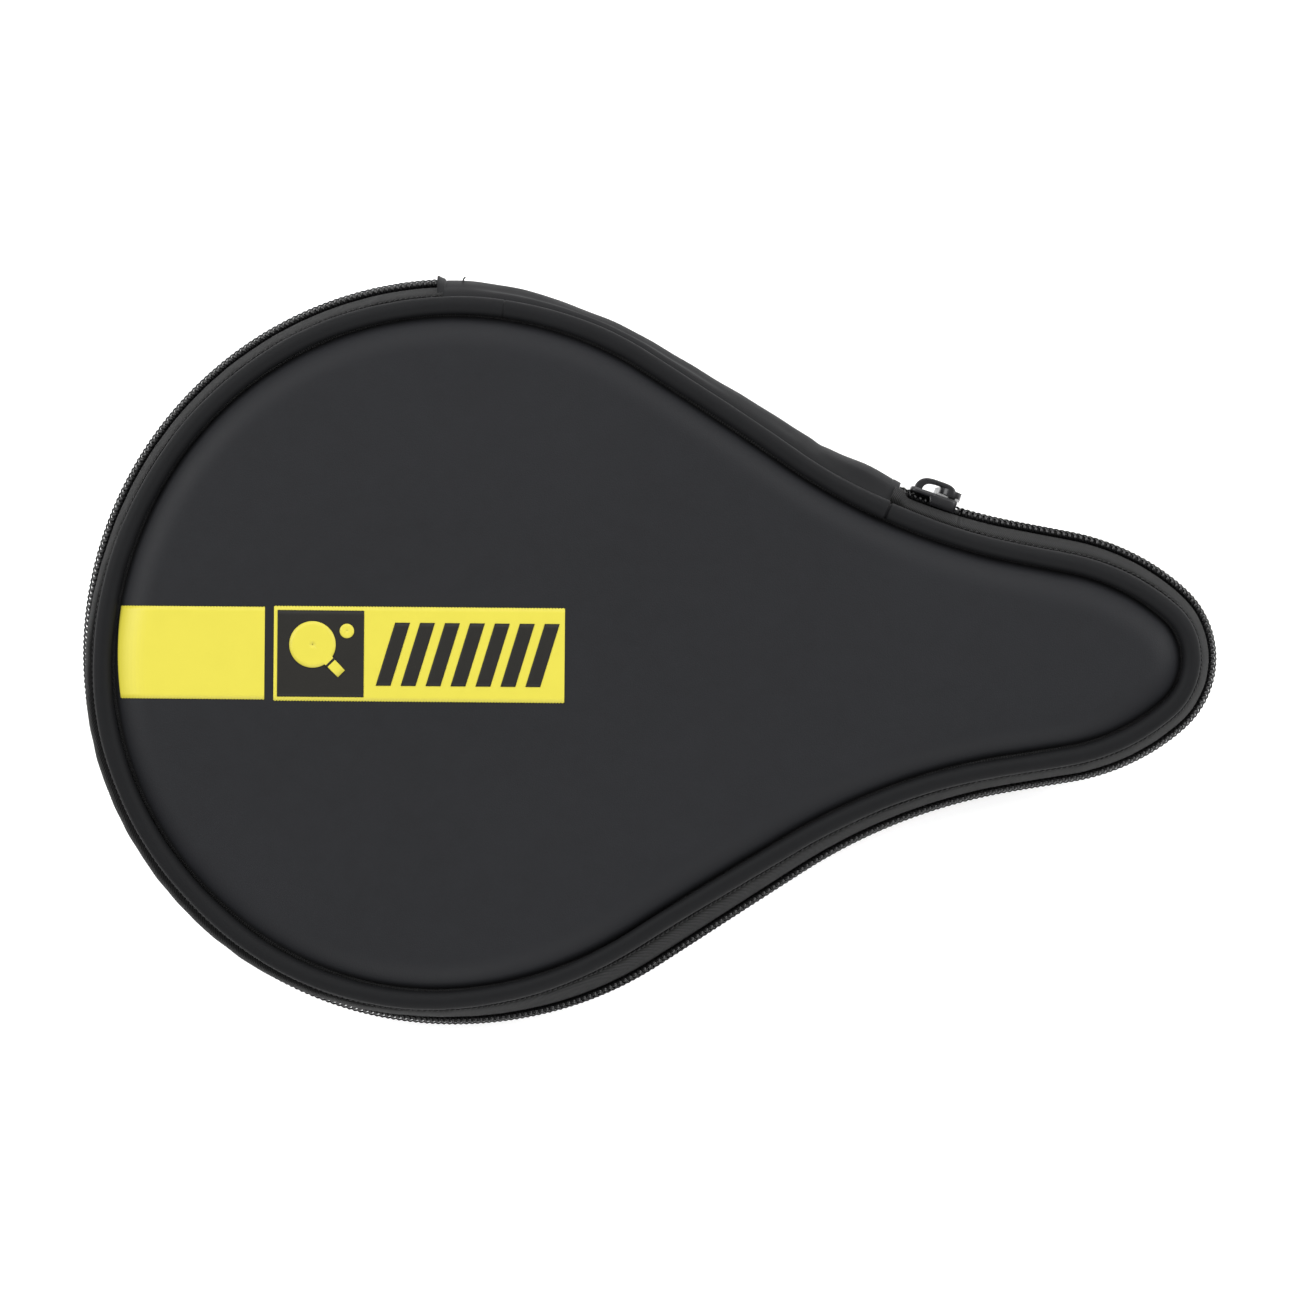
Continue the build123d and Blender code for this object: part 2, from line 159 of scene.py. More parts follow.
# This soft case isn't quite regular. Along the flanks both halves sag a little and draw in
# towards the panels, and the front half leans to the hinge side there and away from it at the
# handle. Each is a bell curve in x: its middle, its spread and its most.
flank_sag = (50 * MM, 36 * MM, -0.8 * MM)
flank_draw = (50 * MM, 38 * MM, 0.012)
lean_humps = [(55 * MM, 36 * MM, 2.5 * MM), (160 * MM, 34 * MM, -1.1 * MM)]
# One corner of the front half is pressed outwards: its direction, half width and reach
pressed_corner = (radians(-139), radians(50), 3.9 * MM)
# The handle's end is a little longer than the outline and to one side of it
tip_shift = (0.9 * MM, -0.3 * MM)
half_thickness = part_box("lid_skin")[1].z - zip_level


def bell(x, middle, spread, most):
    """A bell curve in x: its middle, its spread and its most."""
    return most * np.exp(-(((x - middle) / spread) ** 2))


def step_up(value, start, width):
    """A smooth step from 0 to 1 over a width."""
    share = np.clip((value - start) / width, 0, 1)
    return share * share * (3 - 2 * share)


def at_corner(x, y, middle, half_width):
    """A flat-topped hump from 0 to 1 round the blade, by the angle from its middle."""
    turn = np.mod(np.arctan2(y, x) - middle + pi, 2 * pi) - pi
    return np.exp(-((turn / half_width) ** 4))


def place(point, height, side):
    """Points in the frame from plan points and heights above the zip: side is 1 for the lid and
    -1 for the base, whose heights run down. Only the sag is the same at every height."""
    x, y = point[..., 0], point[..., 1]
    share = np.clip(np.abs(height) / half_thickness, 0, 1)
    y = y * (1 - share * bell(x, *flank_draw)) + bell(x, *flank_sag)
    to_tip = step_up(x, 150 * MM, 45 * MM)
    x, y = x + to_tip * tip_shift[0], y + to_tip * tip_shift[1]
    if side > 0:
        share = np.clip(height / half_thickness, 0, 1)
        middle, half_width, reach = pressed_corner
        out = share * reach * at_corner(x, y, middle, half_width) * np.hypot(x, y) / blade_radius**2
        x, y = x * (1 + out), y * (1 + out)
        for hump in lean_humps:
            y = y + share * bell(x, *hump)
    x, y, z = np.broadcast_arrays(x, y, zip_level + side * np.asarray(height, float))
    return np.stack([x, y, z], -1)


def rim(s, depth, height, side):
    """Points in the frame at lengths s, depths in from the outline and heights above the zip."""
    point, inward = outline(s)
    return place(point + inward * np.asarray(depth)[..., None], height, side)


def wave(s, lengths, seed):
    """A smooth unevenness from -1 to 1 along the ring: the mean of sines of about the given wave
    lengths, with phases drawn from a seed."""
    phases = np.random.default_rng(seed).uniform(0, 2 * pi, len(lengths))
    turns = [max(1, round(ring_length / length)) for length in lengths]
    return sum(np.sin(2 * pi * n * s / ring_length + p) for n, p in zip(turns, phases)) / len(turns)


def grid_mesh(points, closed_u=False, closed_v=True, capped=False, lengths=None):
    """A mesh over a grid of points, rows along u and columns along v. Capped fills both ends of a
    closed section. Lengths along u and v make a UV map in metres."""
    rows, columns = points.shape[:2]
    row_ids = np.arange(rows if closed_u else rows - 1)
    column_ids = np.arange(columns if closed_v else columns - 1)
    a, b = np.meshgrid(row_ids, column_ids, indexing="ij")
    c, d = (a + 1) % rows, (b + 1) % columns
    quads = np.stack([a * columns + b, c * columns + b, c * columns + d, a * columns + d], -1)
    faces = quads.reshape(-1, 4).tolist()
    if capped:
        faces.append(list(range(columns - 1, -1, -1)))
        faces.append(list(range((rows - 1) * columns, rows * columns)))
    mesh = bpy.data.meshes.new("grid")
    mesh.from_pydata(points.reshape(-1, 3).tolist(), [], faces)
    if lengths is not None:
        corner_u = np.stack([a, a + 1, a + 1, a], -1).reshape(-1)
        corner_v = np.stack([b, b, b + 1, b + 1], -1).reshape(-1)
        flat = np.zeros((len(mesh.loops), 2), np.float32)
        flat[: len(corner_u), 0] = np.asarray(lengths[0])[corner_u]
        flat[: len(corner_u), 1] = np.asarray(lengths[1])[corner_v]
        mesh.uv_layers.new(name="lengths").data.foreach_set("uv", flat.ravel())
    return mesh


def merge_doubles(work, merge, thin):
    """Merges doubles within a distance, and dissolves edges that are shorter than thin."""
    bmesh.ops.remove_doubles(work, verts=work.verts, dist=merge)
    bmesh.ops.dissolve_degenerate(work, edges=work.edges, dist=thin)


def add_piece(name, mesh, material, body, slot, *stands_for, merge=0.0):
    """A finished piece on its body, in place of the nodes it stands for; its slot is not used. A piece
    given no body is left unattached."""
    work = bmesh.new()
    work.from_mesh(mesh)
    if merge:
        merge_doubles(work, merge, merge / 4)
    bmesh.ops.recalc_face_normals(work, faces=work.faces)
    work.to_mesh(mesh)
    work.free()
    sides = np.zeros(len(mesh.polygons), int)
    mesh.polygons.foreach_get("loop_total", sides)
    mesh.polygons.foreach_set("use_smooth", sides <= 4)
    mesh.name = name
    mesh.materials.append(material)
    piece = bpy.data.objects.new(name, mesh)
    bpy.context.scene.collection.objects.link(piece)
    if body:
        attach(piece, body)
    if stands_for:
        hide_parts(*stands_for)
    return piece


def new_material(name, color, roughness, **sockets):
    """A material, its node tree, and its Principled shader set up by plain values."""
    material = bpy.data.materials.new(name)
    material.use_nodes = True
    shader = material.node_tree.nodes["Principled BSDF"]
    shader.inputs["Base Color"].default_value = (*color, 1)
    shader.inputs["Roughness"].default_value = roughness
    for socket, value in sockets.items():
        shader.inputs[socket.replace("_", " ")].default_value = value
    return material, material.node_tree, shader


def new_group(name, inputs, outputs):
    """A shader group with named sockets, which every placed group sets, and its end nodes."""
    group = bpy.data.node_groups.new(name, "ShaderNodeTree")
    for way, sockets in (("INPUT", inputs), ("OUTPUT", outputs)):
        for socket, kind in sockets.items():
            group.interface.new_socket(socket, in_out=way, socket_type=kind)
    return group, group.nodes.new("NodeGroupInput"), group.nodes.new("NodeGroupOutput")


def add_node(tree, kind, inputs=(), **settings):
    """A node in a tree. Each input is (name or index, value or the output that feeds it)."""
    made = tree.nodes.new(kind)
    for setting, value in settings.items():
        setattr(made, setting, value)
    for key, value in inputs:
        if hasattr(value, "is_output"):
            tree.links.new(value, made.inputs[key])
        else:
            made.inputs[key].default_value = value
    return made


def feed(tree, node, **outputs):
    """Links outputs to a node's sockets of the same names."""
    for socket, output in outputs.items():
        tree.links.new(output, node.inputs[socket.replace("_", " ")])


def math(tree, operation, first, second=0.0, third=0.0):
    """A Math node on up to three values or outputs."""
    inputs = [(0, first), (1, second), (2, third)]
    return add_node(tree, "ShaderNodeMath", inputs, operation=operation).outputs[0]


def times(tree, color, shade):
    """A colour multiplied by a shade."""
    inputs = [(0, color), (1, shade)]
    return add_node(tree, "ShaderNodeVectorMath", inputs, operation="MULTIPLY").outputs[0]


def mix(tree, factor, first, second):
    """A mix of two colours."""
    inputs = [("Factor", factor), (6, first), (7, second)]
    return add_node(tree, "ShaderNodeMix", inputs, data_type="RGBA").outputs[2]


def remap(tree, value, low, high, to_low, to_high):
    """A value from low..high to to_low..to_high, clamped."""
    inputs = [("Value", value), ("From Min", low), ("From Max", high)]
    inputs += [("To Min", to_low), ("To Max", to_high)]
    return add_node(tree, "ShaderNodeMapRange", inputs).outputs[0]


def noise(tree, vector, scale, detail=3.0, roughness=0.55):
    """A Noise Texture node."""
    inputs = [("Vector", vector), ("Scale", scale), ("Detail", detail), ("Roughness", roughness)]
    return add_node(tree, "ShaderNodeTexNoise", inputs).outputs["Fac"]


def object_space(tree):
    """Object coordinates."""
    return add_node(tree, "ShaderNodeTexCoord").outputs["Object"]


def split(tree, vector):
    """The three parts of a vector."""
    return add_node(tree, "ShaderNodeSeparateXYZ", [(0, vector)]).outputs


def place_group(tree, group, **inputs):
    """The outputs of a group placed in a material, with its own values or links."""
    named = [(socket.replace("_", " "), value) for socket, value in inputs.items()]
    return add_node(tree, "ShaderNodeGroup", named, node_tree=group).outputs


def bump(tree, shader, height, strength, distance):
    """Feeds a height into the shader's normal."""
    inputs = [("Height", height), ("Strength", strength), ("Distance", distance)]
    feed(tree, shader, Normal=add_node(tree, "ShaderNodeBump", inputs).outputs[0])


FLOAT, COLOR, VECTOR = "NodeSocketFloat", "NodeSocketColor", "NodeSocketVector"

# Worn cloth tone: a colour made cloudy, with rare specks of lint, and a grain for its face
cloth_tone, tone_in, tone_out = new_group(
    "cloth_tone",
    {
        "Vector": VECTOR, "Color": COLOR, "Cloudiness": FLOAT, "Lint": FLOAT, "Roughness": FLOAT,
        "Grain Scale": FLOAT,
    },
    {"Color": COLOR, "Roughness": FLOAT, "Height": FLOAT},
)
tree, given = cloth_tone, tone_in.outputs
at = given["Vector"]
cloud = math(tree, "ADD", noise(tree, at, 14.0), noise(tree, at, 170.0, 5.0, 0.65))
cloud = math(tree, "SUBTRACT", cloud, 1.0)
shade = math(tree, "MULTIPLY_ADD", cloud, math(tree, "MULTIPLY", given["Cloudiness"], 2.4), 1.0)
cells = add_node(tree, "ShaderNodeTexVoronoi", [("Vector", at), ("Scale", 120.0)]).outputs
pick = add_node(tree, "ShaderNodeSeparateColor", [(0, cells["Color"])]).outputs
chosen = math(tree, "GREATER_THAN", pick[0], 0.9)
fleck = math(tree, "LESS_THAN", cells["Distance"], math(tree, "MULTIPLY", pick[1], 0.022))
fleck = math(tree, "MULTIPLY", math(tree, "MULTIPLY", chosen, fleck), given["Lint"])
feed(
    tree, tone_out, Color=mix(tree, fleck, times(tree, given["Color"], shade), (0.22, 0.22, 0.23, 1)),
    Roughness=math(tree, "MULTIPLY_ADD", cloud, 0.12, given["Roughness"]),
    Height=noise(tree, at, given["Grain Scale"], 2.0, 0.6),
)


def cloth_finish(name, color, roughness, look, fold=None, strength=0.35, **sockets):
    """A plain cloth. Its look is its cloudiness, lint, grain scale and grain depth. Between the
    two heights of a fold, above or below the zip, its colour is darkened towards the seam: painted shade in
    the groove beside the piping."""
    material, tree, shader = new_material(name, color, roughness, **sockets)
    where = object_space(tree)
    cloudiness, lint, grain_scale, grain_depth = look
    tone = place_group(
        tree, cloth_tone, Vector=where, Color=(*color, 1), Cloudiness=cloudiness, Lint=lint,
        Roughness=roughness, Grain_Scale=grain_scale,
    )
    shown = tone["Color"]
    # Painted shade: the colour darkens towards the seam, where the groove beside the piping is shaded
    if fold:
        level = math(tree, "ABSOLUTE", math(tree, "SUBTRACT", split(tree, where)[2], zip_level))
        shown = times(tree, shown, remap(tree, level, *fold, 0.25, 1.0))
    feed(tree, shader, Base_Color=shown, Roughness=tone["Roughness"])
    bump(tree, shader, tone["Height"], strength, grain_depth)
    return material


# The skin's fold heights paint shade into its colour in the groove beside the piping
skin_cloth = cloth_finish(
    "soft_touch_cloth", (0.0068, 0.0072, 0.0089), 0.58, (0.14, 0.6, 2400.0, 0.00012),
    fold=(12.3 * MM, 14.4 * MM), Sheen_Weight=0.03, Sheen_Roughness=0.4, Specular_IOR_Level=0.23,
)

halves = ((1, "lid"), (-1, "base"))
panel_inset = 10.55 * MM
skin_foot = 12.1 * MM
edge_width = 9.5 * MM
skin_thickness = 0.8 * MM
crown_height = 0.9 * MM
layer_merge = 0.02 * MM
around = 640
edge_rows, core_rows = 15, 26
ring_s = np.arange(around) * ring_length / around
edge_depth = edge_width * (1 - np.cos(np.linspace(0, pi / 2, edge_rows)))


def panel_plan(inset, edge=edge_depth):
    """Plan points of a panel, ring by ring from its edge to its middle line: offset curves of the
    outline across the rounded edge, then rings that close in evenly."""
    point, inward = outline(ring_s)
    rings = [point + inward * (inset + depth) for depth in edge]
    core = np.zeros_like(point)
    core[:, 0] = cap_centre[0] * np.clip(point[:, 0] / (tip_x - 20 * MM), 0, 1)
    shares = np.linspace(0, 1, core_rows + 1)[1:, None, None]
    return np.concatenate([np.array(rings), rings[-1] * (1 - shares) + core * shares])


def swell():
    # The membrane has a fifth of the panel's columns and about half of its rows
    skipped = 5
    wide_edge = np.linspace(0, edge_width, 4)
    core_reach = edge_width + np.arange(1, core_rows + 1) * MM
    rings = panel_plan(panel_inset, wide_edge)[:, ::skipped]
    reach = np.concatenate([wide_edge, core_reach])
    rings, reach = np.delete(rings, np.s_[4:-1:2], 0), np.delete(reach, np.s_[4:-1:2])
    mesh = grid_mesh(np.concatenate([rings, np.zeros(rings.shape[:2] + (1,))], -1))
    work = bmesh.new()
    work.from_mesh(mesh)
    merge_doubles(work, 2.2 * MM, 0.2 * MM)
    work.to_mesh(mesh)
    work.free()
    rest = np.zeros(len(mesh.vertices) * 3)
    mesh.vertices.foreach_get("co", rest)
    rest = rest.reshape(-1, 3)[:, :2]
    gaps = np.linalg.norm(rings.reshape(-1, 1, 2) - rest, axis=-1)
    nearest = gaps.argmin(1).reshape(rings.shape[:2])
    membrane = bpy.data.objects.new("membrane", mesh)
    bpy.context.scene.collection.objects.link(membrane)
    pins = membrane.vertex_groups.new(name="seam")
    pins.add(np.unique(nearest[0]).tolist(), 1.0, "REPLACE")
    cloth = membrane.modifiers.new("padding", "CLOTH")
    cloth.settings.effector_weights.gravity = 0
    cloth.settings.use_pressure = True
    cloth.settings.uniform_pressure_force = 4
    cloth.settings.vertex_group_mass = "seam"
    for number in range(1, 21):
        bpy.context.scene.frame_set(number)
    blown = membrane.evaluated_get(bpy.context.evaluated_depsgraph_get()).to_mesh()
    rise = np.zeros(len(rest) * 3)
    blown.vertices.foreach_get("co", rise)
    bpy.context.scene.frame_set(1)
    rise = np.abs(rise.reshape(-1, 3)[:, 2])[nearest]
    bpy.data.objects.remove(membrane)
    turn = np.arange(rings.shape[1] + 1) * skipped
    wide = np.array([np.interp(np.arange(around), turn, np.append(row, row[0])) for row in rise])
    at = np.concatenate([edge_depth, core_reach])
    full = np.array([np.interp(at, reach, column) for column in wide.T]).T
    for _ in range(4):
        full = (np.roll(full, 2, 1) + np.roll(full, -2, 1) + 2 * full) / 4
    # Both sides of the middle line get one height, and so do all points of its blade end
    full = (full + np.roll(full[:, ::-1], 1, axis=1)) / 2
    blade_end = outline(ring_s)[0][:, 0] <= 0
    full[-1, blade_end] = full[-1, blade_end].mean()
    return np.clip(full / full.max(), 0, 1)


panel_swell = swell()
panel_depth = np.concatenate([edge_depth, np.full(core_rows, edge_width)])[:, None]


def panel_top(side):
    """Heights of a skin's outer face, ring by ring: a quarter of a soft oval up from the seam,
    and on the lid the swell of its padding."""
    share = np.clip(panel_depth / edge_width, 0, 1)
    oval = (1 - (1 - share) ** 2.25) ** (1 / 1.32)
    crown = crown_height if side > 0 else 0
    return skin_foot + (half_thickness - skin_foot) * oval + crown * panel_swell


def closed_layer(inset_top, inset_under, top, under, side):
    """A layer of a panel closed round its edge, with an upper face and an under face."""
    upper = place(panel_plan(inset_top), top, side)
    lower = place(panel_plan(inset_under), under, side)
    return grid_mesh(np.concatenate([upper[::-1], lower]))


skins = {}
for side, body in halves:
    top = panel_top(side)
    under = np.maximum(top - skin_thickness, skin_foot - 0.2 * MM)
    mesh = closed_layer(panel_inset, panel_inset + skin_thickness, top, under, side)
    skins[body] = add_piece(
        f"{body}_panel_skin", mesh, skin_cloth, body, "coated_cloth", f"{body}_skin", merge=layer_merge
    )


# ---- Foam boards ----
# A sheet of closed-cell foam fills each panel between the skin and the lining. It is cut to the
# panel's shape and held by the seam round its edge.
foam_color = (0.05, 0.05, 0.052)
foam_material, tree, shader = new_material("closed_cell_foam", foam_color, 0.95)
where = object_space(tree)
cells = add_node(tree, "ShaderNodeTexVoronoi", [("Vector", where), ("Scale", 1400.0)])
bubble = cells.outputs["Distance"]
feed(tree, shader, Base_Color=times(tree, foam_color, remap(tree, bubble, 0.0, 0.8, 0.7, 1.1)))
bump(tree, shader, bubble, 0.5, 0.0003)

foam_foot = 12.85 * MM
foam_inset = panel_inset + 1.6 * MM
for side, body in halves:
    top = np.maximum(panel_top(side) - skin_thickness - 0.1 * MM, foam_foot + 0.3 * MM)
    mesh = closed_layer(foam_inset, foam_inset, top, np.full_like(top, foam_foot), side)
    foam = add_piece(
        f"{body}_foam_board", mesh, foam_material, body, "foam_board", f"{body}_foam", merge=layer_merge
    )


# ---- Linings ----
# A brushed knit faces the inside of each panel. It is sewn into the bound seam all round, and
# lies softly on the foam.
lining_material = cloth_finish(
    "brushed_knit_lining", (0.022, 0.022, 0.024), 0.95, (0.3, 0.2, 900.0, 0.0006), Sheen_Weight=0.2,
    Sheen_Roughness=0.6,
)
lining_face = 12.25 * MM
lining_back = 12.8 * MM
lining_inset = panel_inset + 1.2 * MM
lining_puff = 0.35 * MM
for side, body in halves:
    plan = panel_plan(lining_inset)
    soft = wave(ring_s, [23 * MM, 37 * MM, 61 * MM], 5 + side)
    soft = soft * np.sin(pi * np.linspace(0, 1, len(plan)))[:, None]
    back = np.full(soft.shape, lining_back)
    face = lining_face - lining_puff * (panel_swell + 0.3 * soft)
    mesh = closed_layer(lining_inset, lining_inset, back, face, side)
    lining = add_piece(
        f"{body}_knit_lining", mesh, lining_material, body, "lining_cloth", f"{body}_lining",
        merge=layer_merge,
    )
    x, y = plan[0].T


# ---- Piping ----
# A strip of coated cloth is rolled round a soft cord and sewn in along each panel's edge. Its
# ends meet in a butt joint on the blade, and a folded overlap beside the end of the spine.
piping_material = cloth_finish(
    "piping_strip_cloth", (0.0062, 0.0064, 0.0071), 0.62, (0.16, 0.35, 3000.0, 0.0001),
    Specular_IOR_Level=0.12,
)
piping_radius = 2.35 * MM
piping_depth = 7.85 * MM
piping_rise = 13.8 * MM
handle_length_along = span_lengths[0] + span_lengths[1] + span_lengths[2]
neck_middle = (flank_angle + handle_angle) / 2
spine_low = handle_length_along + neck_radius * (neck_middle - handle_angle) + 2.5 * MM
spine_high = half_length - blade_radius * (pi / 2 - 6 * MM / blade_radius)
overlap_at = spine_low + 0.7 * MM
butt_at = spine_high - 19 * MM


def fine_near(start, end, pitch, places, reach=2.5 * MM, fine=0.12 * MM):
    """Lengths from start to end about a pitch apart, and much closer near some places."""
    s = [np.linspace(start, end, int(round((end - start) / pitch)) + 1)]
    for middle in places:
        near = np.arange(middle - reach, middle + reach, fine)
        s.append(near[(near > start) & (near < end)])
    s = np.unique(np.concatenate(s))
    return s[np.concatenate([[True], np.diff(s) > fine / 3])]


def circle(count):
    """Angles of a row of points round a closed section."""
    return np.linspace(0, 2 * pi, count, endpoint=False)[None, :]


for side, body in halves:
    s = fine_near(0, ring_length - 1 * MM, 1.1 * MM, [overlap_at, butt_at])[:, None]
    t = circle(28)
    past = np.maximum(s - overlap_at, 0)
    proud = 0.36 * MM * step_up(s, overlap_at, 0.3 * MM) * np.exp(-past / (9 * MM))
    butt = bell(s, butt_at, 0.22 * MM, -0.24 * MM)
    crease = bell(s, overlap_at, 0.32 * MM, -0.5 * MM)
    uneven = 0.05 * MM * wave(s, [19 * MM, 31 * MM, 47 * MM], 11 + side)
    radius = piping_radius + proud + butt + crease + uneven
    w = piping_depth + radius * np.cos(t) + 0.1 * MM * wave(s, [43 * MM, 71 * MM], 17 + side)
    mesh = grid_mesh(rim(s, w, piping_rise + (radius - 0.1 * MM) * np.sin(t), side), closed_u=True)
    add_piece(f"{body}_piping_roll", mesh, piping_material, body, "piping_cloth", f"{body}_piping")

cord_material, tree, shader = new_material("soft_piping_cord", (0.04, 0.04, 0.04), 0.8)
where = object_space(tree)
feed(tree, shader, Roughness=remap(tree, noise(tree, where, 600.0), 0.3, 0.7, 0.6, 0.9))
bump(tree, shader, noise(tree, where, 2200.0), 0.3, 0.0002)
cord_radius = 1.45 * MM
for side, body in halves:
    s = np.linspace(0, ring_length, 500, endpoint=False)[:, None]
    t = circle(12)
    w, h = piping_depth + cord_radius * np.cos(t), piping_rise + cord_radius * np.sin(t)
    mesh = grid_mesh(rim(s, w, h, side), closed_u=True)
    add_piece(f"{body}_piping_filler", mesh, cord_material, body, "piping_core", f"{body}_piping_cord")


# ---- Seam bindings ----
# Inside the case a ribbed tape is folded over the raw edges of lining, piping and zip tape, and
# sewn through with a row of lockstitches.
binding_color = (0.014, 0.014, 0.0148)
binding_material, tree, shader = new_material(
    "ribbed_binding_tape", binding_color, 0.8, Sheen_Weight=0.1, Sheen_Roughness=0.5,
    Specular_IOR_Level=0.25,
)
lengths_map = add_node(tree, "ShaderNodeUVMap", uv_map="lengths").outputs[0]
rib = math(tree, "SINE", math(tree, "MULTIPLY", split(tree, lengths_map)[0], 2 * pi / (0.7 * MM)))
rib = math(tree, "MULTIPLY_ADD", rib, 0.5, 0.5)
feed(tree, shader, Base_Color=times(tree, binding_color, remap(tree, rib, 0.0, 1.0, 0.65, 1.15)))
bump(tree, shader, rib, 0.6, 0.00025)

thread_material, tree, shader = new_material(
    "sewing_thread", (0.0045, 0.0045, 0.005), 0.6, Specular_IOR_Level=0.2
)
waves = [("Vector", object_space(tree)), ("Scale", 900.0), ("Distortion", 1.5)]
twist = add_node(tree, "ShaderNodeTexWave", waves, bands_direction="DIAGONAL").outputs["Fac"]
feed(tree, shader, Roughness=remap(tree, twist, 0.0, 1.0, 0.45, 0.65))
bump(tree, shader, twist, 0.4, 0.00012)
UP = np.array([0.0, 0.0, 1.0])


def unit(vectors):
    """Vectors over their own lengths."""
    return vectors / np.linalg.norm(vectors, axis=-1, keepdims=True)


def square_to(vectors, along):
    """Unit vectors square to others, on the side that the given vectors point to."""
    return unit(vectors - along * np.sum(vectors * along, -1, keepdims=True))


def tube_rings(path, radius, sides, reference):
    """Rings of a round thread along a path, turned so that their first points face the reference
    direction."""
    tangent = unit(np.gradient(path, axis=0))
    first = square_to(reference, tangent)
    second = np.cross(tangent, first)
    t = np.arange(sides) * 2 * pi / sides
    radius = np.broadcast_to(np.asarray(radius, float), path.shape[:1])[:, None, None]
    spokes = first[:, None] * np.cos(t)[:, None] + second[:, None] * np.sin(t)[:, None]
    return path[:, None] + radius * spokes


def repeated(rings, origins, frames):
    """One shape of a few rings, closed at both ends and repeated at origins, turned by frames
    whose rows are its local axes."""
    count, columns = rings.shape[:2]
    local = rings.reshape(-1, 3)
    points = origins[:, None] + local @ frames
    a, b = np.meshgrid(np.arange(count - 1) * columns, np.arange(columns), indexing="ij")
    d = (b + 1) % columns
    quads = np.stack([a + b, a + columns + b, a + columns + d, a + d], -1).reshape(-1, 4)
    ends = np.array([np.arange(columns)[::-1], np.arange((count - 1) * columns, count * columns)])
    shift = (np.arange(len(origins)) * len(local))[:, None, None]
    faces = (quads + shift).reshape(-1, 4).tolist() + (ends + shift).reshape(-1, columns).tolist()
    mesh = bpy.data.meshes.new("repeated")
    mesh.from_pydata(points.reshape(-1, 3).tolist(), [], faces)
    return mesh


def stitch_rings(length, radius, dip):
    """A short thread along local x that arches along local z and dips in at its ends."""
    share = np.linspace(-1, 1, 5)
    path = np.stack([share * length / 2, 0 * share, dip * (1 - share**2) - dip * 0.6], -1)
    return tube_rings(path, radius * np.array([0.55, 0.95, 1, 0.95, 0.55]), 6, UP)


def stitch_row(s, w, h, side, rings, facing, slant=0.0):
    """Stitches at lengths s on a line of given depth and height. Facing is (inward, up) for the
    side that their arches rise to, and slant turns them on the surface."""
    here = rim(s, np.full(s.shape, w), h, side)
    ahead = rim(s + 0.2 * MM, np.full(s.shape, w), h, side)
    up = np.full((len(s), 1), side * facing[1])
    x = unit(ahead - here)
    z = square_to(np.concatenate([outline(s)[1] * facing[0], up], -1), x)
    y = np.cross(z, x)
    x, y = x * cos(slant) + y * sin(slant), y * cos(slant) - x * sin(slant)
    return repeated(rings, here, np.stack([x, y, z], 1))


binding_steps, binding_sides = 720, 20
binding_s = np.linspace(0, ring_length, binding_steps, endpoint=False)
binding_stitch = stitch_rings(2.3 * MM, 0.24 * MM, 0.2 * MM)
for side, body in halves:
    t = circle(binding_sides)
    w = 11.35 * MM + 1.8 * MM * np.sign(np.cos(t)) * np.abs(np.cos(t)) ** 0.6
    h = 11.15 * MM + 0.95 * MM * np.sign(np.sin(t)) * np.abs(np.sin(t)) ** 0.7
    h = h + 0.08 * MM * wave(binding_s[:, None], [9 * MM, 14 * MM], 31 + side)
    along = np.arange(binding_steps + 1) * ring_length / binding_steps
    over = np.arange(binding_sides + 1) * 0.27 * MM
    mesh = grid_mesh(rim(binding_s[:, None], w, h, side), closed_u=True, lengths=(along, over))
    add_piece(f"{body}_binding_tape", mesh, binding_material, body, "binding_tape", f"{body}_seam_binding")
    s = np.arange(0, ring_length, 3.0 * MM)
    mesh = stitch_row(s, 11.9 * MM, 10.25 * MM, side, binding_stitch, (0.3, -1))
    add_piece(f"{body}_binding_stitches", mesh, thread_material, body, "binding_tape")


# ---- Zip tapes ----
# Each half of the zip is a twill-woven tape. It stands upright behind its coil, leans in to the
# piping and is sewn under it. Twill lines run across it on the slant.
def smooth_path(corners, count, rounding):
    """Points along a polyline of (depth, height) corners in millimetres, evenly spread and with
    its corners rounded by repeated averaging, and their running length."""
    corners = np.array(corners, float)
    run = np.concatenate([[0], np.cumsum(np.linalg.norm(np.diff(corners, axis=0), axis=1))])
    even = np.linspace(0, run[-1], count)
    path = np.stack([np.interp(even, run, corners[:, 0]), np.interp(even, run, corners[:, 1])], -1)
    for _ in range(rounding):
        path[1:-1] = (path[:-2] + 2 * path[1:-1] + path[2:]) / 4
    run = np.concatenate([[0], np.cumsum(np.linalg.norm(np.diff(path, axis=0), axis=1))])
    return path * MM, run * MM


tape_corners = [(2.25, 0.75), (2.25, 4.3), (2.75, 6.8), (3.9, 9.8), (5.2, 12.3), (6.4, 12.0), (10.6, 11.35)]
tape_path, tape_run = smooth_path(tape_corners, 28, 1)
seam_run = float(np.interp(12.1 * MM, tape_path[:18, 1], tape_run[:18]))

twill_weave, twill_in, twill_out = new_group(
    "twill_weave",
    {"Vector": VECTOR, "Pitch": FLOAT, "Thread": FLOAT, "Slope": FLOAT},
    {"Height": FLOAT, "Line": FLOAT},
)
tree, given = twill_weave, twill_in.outputs
along_u, across_v, _ = split(tree, given["Vector"])
slid = math(tree, "MULTIPLY_ADD", across_v, given["Slope"], along_u)
turns = math(tree, "DIVIDE", slid, given["Pitch"])
line = math(tree, "SINE", math(tree, "MULTIPLY", turns, 2 * pi))
line = math(tree, "MULTIPLY_ADD", line, 0.5, 0.5)
picks = math(tree, "DIVIDE", across_v, given["Thread"])
pick_wave = math(tree, "SINE", math(tree, "MULTIPLY", picks, 2 * pi))
pick_wave = math(tree, "MULTIPLY_ADD", pick_wave, 0.12, 0.88)
feed(tree, twill_out, Height=math(tree, "MULTIPLY", line, pick_wave), Line=line)

